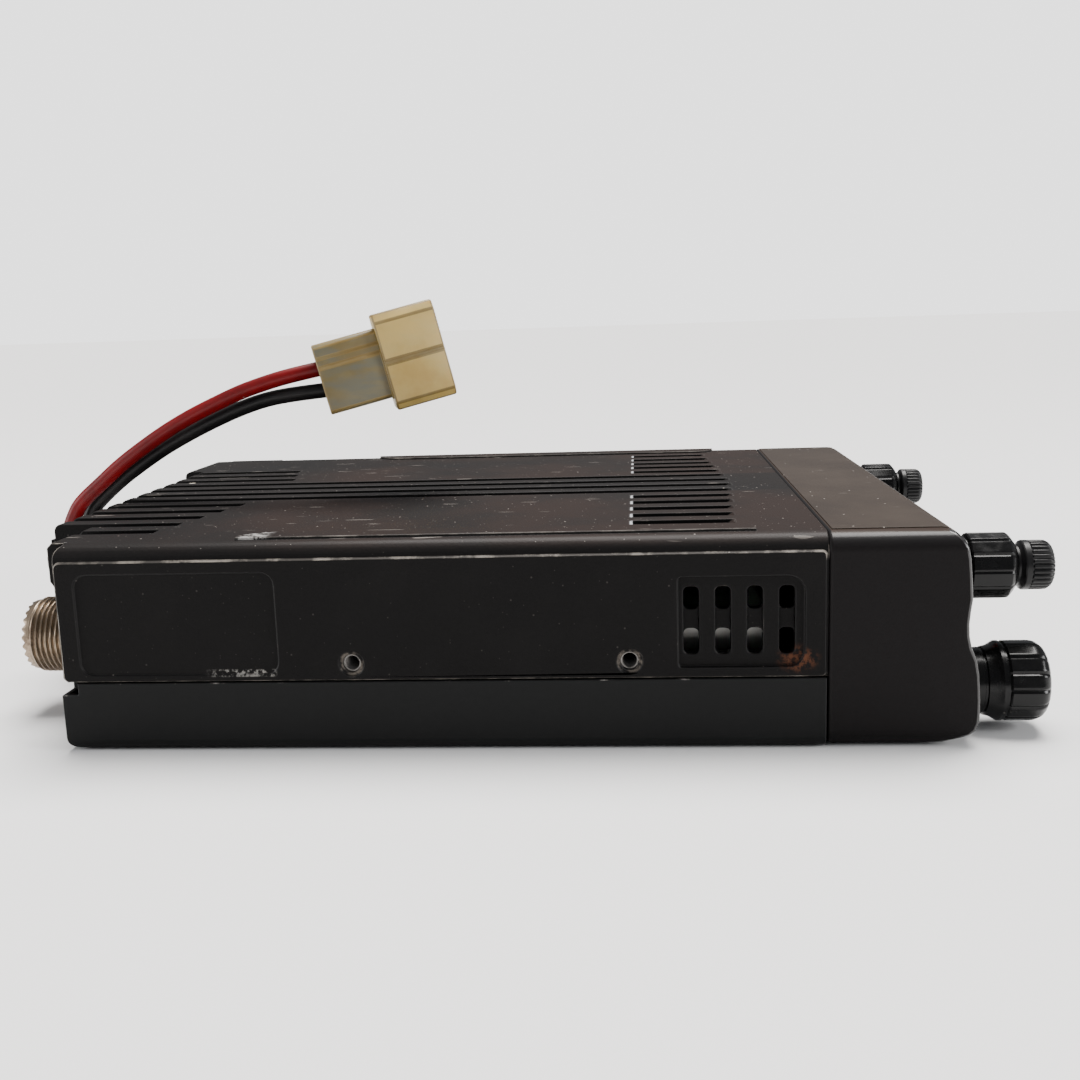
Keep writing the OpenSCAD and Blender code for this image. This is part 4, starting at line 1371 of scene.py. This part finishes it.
@dataclass
class Fluting:
    """Flat facets with narrow grooves between them, cut round a knob."""

    count: int
    depth: float
    width: float
    flat: float = 1.0

    def cut(self, radius: float, strength: float, angle: float) -> float:
        """The radius at an angle, for a facet corner's radius and a strength from 0 to 1."""
        step = math.tau / self.count
        offset = angle % step - step / 2
        facet = math.cos(step / 2) / math.cos(offset)
        edge = (step / 2 - abs(offset)) * radius / (self.width / 2)
        groove = self.depth * math.exp(-edge * edge)
        round_share = 1 - self.flat * strength
        return radius * (facet * (1 - round_share) + round_share) - groove * strength


@dataclass
class Dial:
    """Sizes and places that the two ends of the panel share."""

    tuning_at: tuple[float, float] = (58.0, 8.75)
    double_at: tuple[float, float] = (53.4, 29.8)
    tuning_r: float = 7.62
    ring_r: float = 6.38
    volume_r: float = 4.68

    def build(self) -> None:
        """Builds the knobs of both sides."""
        gloss = KnobPlastic().make()
        satin = KnobPlastic("knob_satin", (0.0055, 0.0055, 0.0058), 0.28).make()
        for side, word in ((-1, "left"), (1, "right")):
            dress(self._tuning(side, word), f"tuning_{word}",
                  [f"tuning_knob_{word}"], [gloss])
            dress(self._ring(side, word), f"squelch_{word}",
                  [f"squelch_ring_{word}"], [gloss])
            dress(self._volume(side, word), f"volume_{word}",
                  [f"volume_knob_{word}"], [satin])

    def _tuning(self, side: int, word: str) -> bpy.types.Object:
        """A tuning knob: plain collar, dark gap, fluted grip with a full round front."""
        r, cut = self.tuning_r, Fluting(14, 0.42, 0.62)
        profile: Outline = [(-27.3, 3.02), (-27.3, 6.0), (-27.5, 6.2), (-29.2, 6.3),
                            (-29.35, 6.0), (-29.75, 6.0), (-29.9, 6.4), (-31.0, 6.7),
                            (-31.9, 7.2), (-32.3, r - 0.15), (-32.9, r - 0.1), (-33.05, 7.1),
                            (-33.4, 7.1), (-33.55, r - 0.2),
                            (-33.8, r), (-35.4, r), (-36.8, r), (-38.2, r)]
        profile += arc(-38.45, r - 2.7, 2.7, 90, 180, 8)[1:]
        profile += [(-41.1, 4.0), (-40.85, 3.6), (-40.8, 2.0), (-40.8, 0.5), (-40.8, 0.0)]
        profile = [(-37.9, 0.0), (-37.9, 3.02), *profile]

        def flutes(angle: float, y: float, radius: float) -> tuple[float, float]:
            """Cuts the flutes where the grip stands, fading over its round front."""
            if y > -33.5 or radius < 4.4:
                return y, radius
            fade = min(1.0, max(0.0, (radius - 5.0) / 2.0))
            return y, cut.cut(radius, fade, angle)

        return turned(f"tuning_grip_{word}", (side * self.tuning_at[0], self.tuning_at[1]),
                      profile, 14 * 16, flutes, 28)

    def _ring(self, side: int, word: str) -> bpy.types.Object:
        """A squelch ring: facets, a chamfered front and a hollow neck for the volume knob."""
        r, cut = self.ring_r, Fluting(12, 0.34, 0.5)
        profile: Outline = [(-33, 2.15), (-33, 3.02), (-25.6, 3.02), (-25.6, 5.2), (-25.8, 5.4),
                            (-27.3, 5.4), (-27.55, r - 0.2), (-27.8, r), (-29.5, r), (-31, r),
                            (-32.6, r), (-34.2, r), (-34.75, r - 0.08), (-35.1, r - 0.35),
                            (-35.7, r - 1.1), (-36.05, r - 1.7), (-36.1, r - 2.1), (-36.0, 3.9),
                            (-35.9, 3.2), (-35.9, 2.15), (-33, 2.15)]

        def flutes(angle: float, y: float, radius: float) -> tuple[float, float]:
            """Cuts the flutes along the side of the ring."""
            if radius < 4.9 or y > -27.4:
                return y, radius
            fade = min(1.0, max(0.0, (radius - 4.9) / 0.5))
            return y, cut.cut(radius, fade, angle)

        return turned(f"squelch_grip_{word}", (side * self.double_at[0], self.double_at[1]),
                      profile, 12 * 16, flutes, 28)

    def _volume(self, side: int, word: str) -> bpy.types.Object:
        """A volume knob: neck, plain collar, fine knurl and a rounded front."""
        r, cut = self.volume_r, Fluting(28, 0.30, 0.42, 0.0)
        profile: Outline = [(-41.9, 0.0), (-41.9, 1.72), (-36.4, 1.72), (-36.4, 3.5),
                            (-36.5, 3.7), (-36.9, 3.75), (-37.3, 4.1), (-37.5, r - 0.15),
                            (-37.75, r), (-38.7, r), (-38.85, r - 0.2), (-39.0, r), (-40.0, r),
                            (-41.0, r)]
        profile += arc(-41.45, r - 1.7, 1.7, 90, 180, 6)[1:]
        profile += [(-43.1, 2.4), (-42.85, 2.2), (-42.8, 1.2), (-42.8, 0.0)]

        def knurl(angle: float, y: float, radius: float) -> tuple[float, float]:
            """Cuts the knurl over the front two thirds."""
            if radius < 2.7 or y > -38.9:
                return y, radius
            return y, cut.cut(radius, min(1.0, (radius - 2.6) / 0.6), angle)

        return turned(f"volume_grip_{word}", (side * self.double_at[0], self.double_at[1]),
                      profile, 28 * 8, knurl, 28)


# ---------------------------------------------------------------- rear connectors


@dataclass
class RearSockets:
    """Antenna connector and loudspeaker sockets of the rear wall."""

    antenna_at: tuple[float, float] = (-41.0, 15.5)
    thread_r: float = 7.92
    pitch: float = 1.058
    thread_depth: float = 0.5
    teeth: int = 24

    def build(self, frame: dict[str, Any]) -> None:
        """Builds the sockets of the rear wall."""
        nickel = Metal("old_nickel", (0.36, 0.285, 0.21), (0.085, 0.048, 0.028), 0.27, 0.75,
                       0.0042).make()
        dress(self._shell(), "radio", ["antenna_shell"], [nickel])
        black = MouldedPlastic("jack_black", (0.011, 0.011, 0.012), rub_from=0.66, rough=0.34)
        finish = black.make()
        for letter in ("a", "b"):
            Skin(f"speaker_jack_{letter}", "radio", "jack_black", 0.2, 3).build(frame, [finish])

    def _shell(self) -> bpy.types.Object:
        """The antenna connector's shell with its thread and toothed rim."""
        r, start, end = self.thread_r, 144.4, 160.0
        rows = int((end - start) / self.pitch * 8)
        profile: Outline = [(134, 3.6), (134, 7.9), (141.6, 7.9), (141.6, 9.9), (141.8, 10.2),
                            (143.5, 10.2), (143.8, 9.9), (143.8, 7.3), (144.3, 7.3)]
        profile += [(start + (end - start) * k / rows, r) for k in range(rows + 1)]
        profile += [(160.3, r - 0.55), (160.8, r - 0.6), (161.2, r - 0.75), (161.2, 6.2),
                    (160.9, 5.85), (160.0, 5.8), (155, 5.8), (147, 5.8), (147, 3.6), (134, 3.6)]

        def thread(angle: float, y: float, radius: float) -> tuple[float, float]:
            """Cuts the helical thread, and the teeth of the rim."""
            if start <= y <= end and radius == r:
                turn = ((y - start) / self.pitch - angle / math.tau) % 1.0
                wave = abs(turn * 2 - 1)
                ease = min(1.0, (y - start) / 0.8, (end - y) / 0.8)
                cut = min(1.0, max(0.0, wave * 1.5 - 0.25)) * ease + 1 - ease
                return y, radius - self.thread_depth * cut
            if y >= 161.15:
                tooth = abs((angle * self.teeth / math.tau) % 1.0 * 2 - 1)
                return y + 0.4 - tooth * 0.75, radius
            return y, radius

        return turned("antenna_thread", self.antenna_at, profile, self.teeth * 5, thread, 40)


# ---------------------------------------------------------------- screws


@dataclass
class Screws:
    """Cross-head screws of the bottom cover and of the circuit board."""

    cover: tuple[Point, ...] = tuple((x, y, 0.15) for x in (-62, 62) for y in (12, 72, 128))
    posts: tuple[tuple[float, float], ...] = ((-52, 42), (52, 42), (-54, 112), (54, 112),
                                              (0, 66), (0, 108))

    def build(self) -> None:
        """Builds both sets of screws."""
        black = Metal("screw_black", (0.045, 0.045, 0.048), (0.16, 0.14, 0.13), 0.34, 0.35, 0.002)
        steel = Metal("screw_steel", (0.55, 0.54, 0.52), (0.33, 0.30, 0.26), 0.26, 0.4, 0.003)
        under = [(x * MM, from_seam(y), z * MM) for x, y, z in self.cover]
        inside = [(x * MM, from_seam(y), 7.4 * MM) for x, y in self.posts]
        copies = Copies(Repeat.POINTS)
        made = copies.make("cover_screw_set", self._screw(2.9, 1.15, 1.45, 6.0), black.make(),
                           points=under)
        dress(made, "radio", ["cover_screws"])
        made = copies.make("board_screw_set", self._screw(2.7, 1.6, 1.2, 7.0), steel.make(),
                           points=inside)
        dress(made, "radio", ["board_screws"])

    def _screw(self, head_r: float, head: float, shank_r: float, shank: float) -> bpy.types.Object:
        """One screw about the origin, its head down, with a cross recess.

        Args:
            head_r: Radius of the head in millimetres.
            head: Height of the head.
            shank_r: Radius of the shank.
            shank: Length of the shank.

        Returns:
            The screw.
        """
        profile: Outline = [(0, 0), (0, head_r * 0.55), (head * 0.12, head_r * 0.8),
                            (head * 0.45, head_r * 0.97), (head * 0.75, head_r),
                            (head, head_r * 0.98), (head, shank_r)]
        turns = int(shank / 0.5)
        for k in range(turns):
            y = head + 0.2 + k * (shank - 0.4) / turns
            profile += [(y, shank_r - 0.18), (y + 0.22, shank_r)]
        profile += [(head + shank, shank_r * 0.7), (head + shank, 0)]
        piece = turned("screw", (0, 0), profile, 28)
        piece.data.transform(Matrix.Translation((0, -SEAM_Y * MM, 0)))
        for turn in (0, 90):
            wide, reach = 0.42, head_r * 0.6
            bar = plate("recess", [(-reach, -wide), (reach, -wide), (reach, wide), (-reach, wide)],
                        -1, head * 0.55, Matrix.Rotation(math.radians(turn), 4, "Y"))
            cut = piece.modifiers.new("recess", "BOOLEAN")
            cut.operation = "DIFFERENCE"
            cut.solver = "EXACT"
            cut.object = bar
            piece = plain_mesh(piece)
            bpy.data.objects.remove(bar)
        piece.data.transform(Matrix.Rotation(math.radians(90), 4, "X"))
        return piece


# ---------------------------------------------------------------- inside


@dataclass
class Inside:
    """Finishes of the parts that show only through the vents and sockets."""

    finishes: tuple[tuple[tuple[str, ...], Finish], ...] = (
        (("front_board", "main_board"),
         Plain("circuit_board", (0.020, 0.075, 0.030), (0.030, 0.10, 0.045), 0.36, grain=0.0015)),
        (("front_backplate",), Plain("back_black", (0.014, 0.014, 0.014), (0.022, 0.021, 0.020))),
        (("key_switches",), Plain("switch_plastic", (0.52, 0.51, 0.47), (0.44, 0.43, 0.38), 0.4)),
        (("encoder_left", "encoder_right", "dual_pot_left", "dual_pot_right", "speaker_basket"),
         Metal("plain_metal", (0.60, 0.60, 0.60), (0.42, 0.40, 0.37), 0.30, 0.35)),
        (("power_module",), Plain("module_black", (0.018, 0.018, 0.020), (0.03, 0.03, 0.03), 0.4)),
        (("shield_front", "shield_rear"),
         Metal("tinned", (0.66, 0.65, 0.62), (0.45, 0.43, 0.40), 0.34, 0.45, 0.010)),
        (("speaker_magnet",), Plain("magnet", (0.09, 0.09, 0.09), (0.13, 0.12, 0.12), 0.42, 0.6)),
        (("speaker_cone",), Plain("paper", (0.040, 0.034, 0.030), (0.055, 0.047, 0.040), 0.8)),
        (("speaker_cloth",), Plain("cloth", (0.010, 0.010, 0.010), (0.018, 0.018, 0.018), 0.9)),
        (("antenna_insulator",), Plain("insulator", (0.70, 0.67, 0.58), (0.60, 0.55, 0.43), 0.4)),
        (("antenna_contact", "dc_terminals"),
         Metal("contact_brass", (0.72, 0.52, 0.24), (0.36, 0.22, 0.10), 0.24, 0.4, 0.002)),
        (("antenna_nut",), Metal("nut_nickel", (0.60, 0.55, 0.48), (0.36, 0.29, 0.22), 0.3, 0.4)),
        (("lcd_module",), Plain("lcd", (0.17, 0.20, 0.14), (0.20, 0.23, 0.16), 0.22)),
        (("tuning_shaft_left", "tuning_shaft_right", "squelch_sleeve_left", "squelch_sleeve_right",
          "volume_shaft_left", "volume_shaft_right"),
         Metal("shaft_steel", (0.62, 0.62, 0.63), (0.40, 0.38, 0.36), 0.22, 0.3, 0.003)),
    )

    def build(self, frame: dict[str, Any]) -> None:
        """Gives the nodes that keep their own shape their finishes."""
        for names, finish in self.finishes:
            material = finish.make()
            for name in names:
                for slot in frame["nodes"][name].material_slots:
                    slot.material = material
            LOG.info("%s dresses %s", material.name, ", ".join(names))


# ---------------------------------------------------------------- the set


def main() -> None:
    """Builds the set."""
    logging.basicConfig(level=logging.INFO, format="%(name)s: %(message)s")
    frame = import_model()
    Room().build()
    PowerLead().build(frame)
    Case().build(frame)
    FrontUnit().build(frame)
    Dial().build()
    RearSockets().build(frame)
    Screws().build()
    Inside().build(frame)


if __name__ == "__main__":
    main()
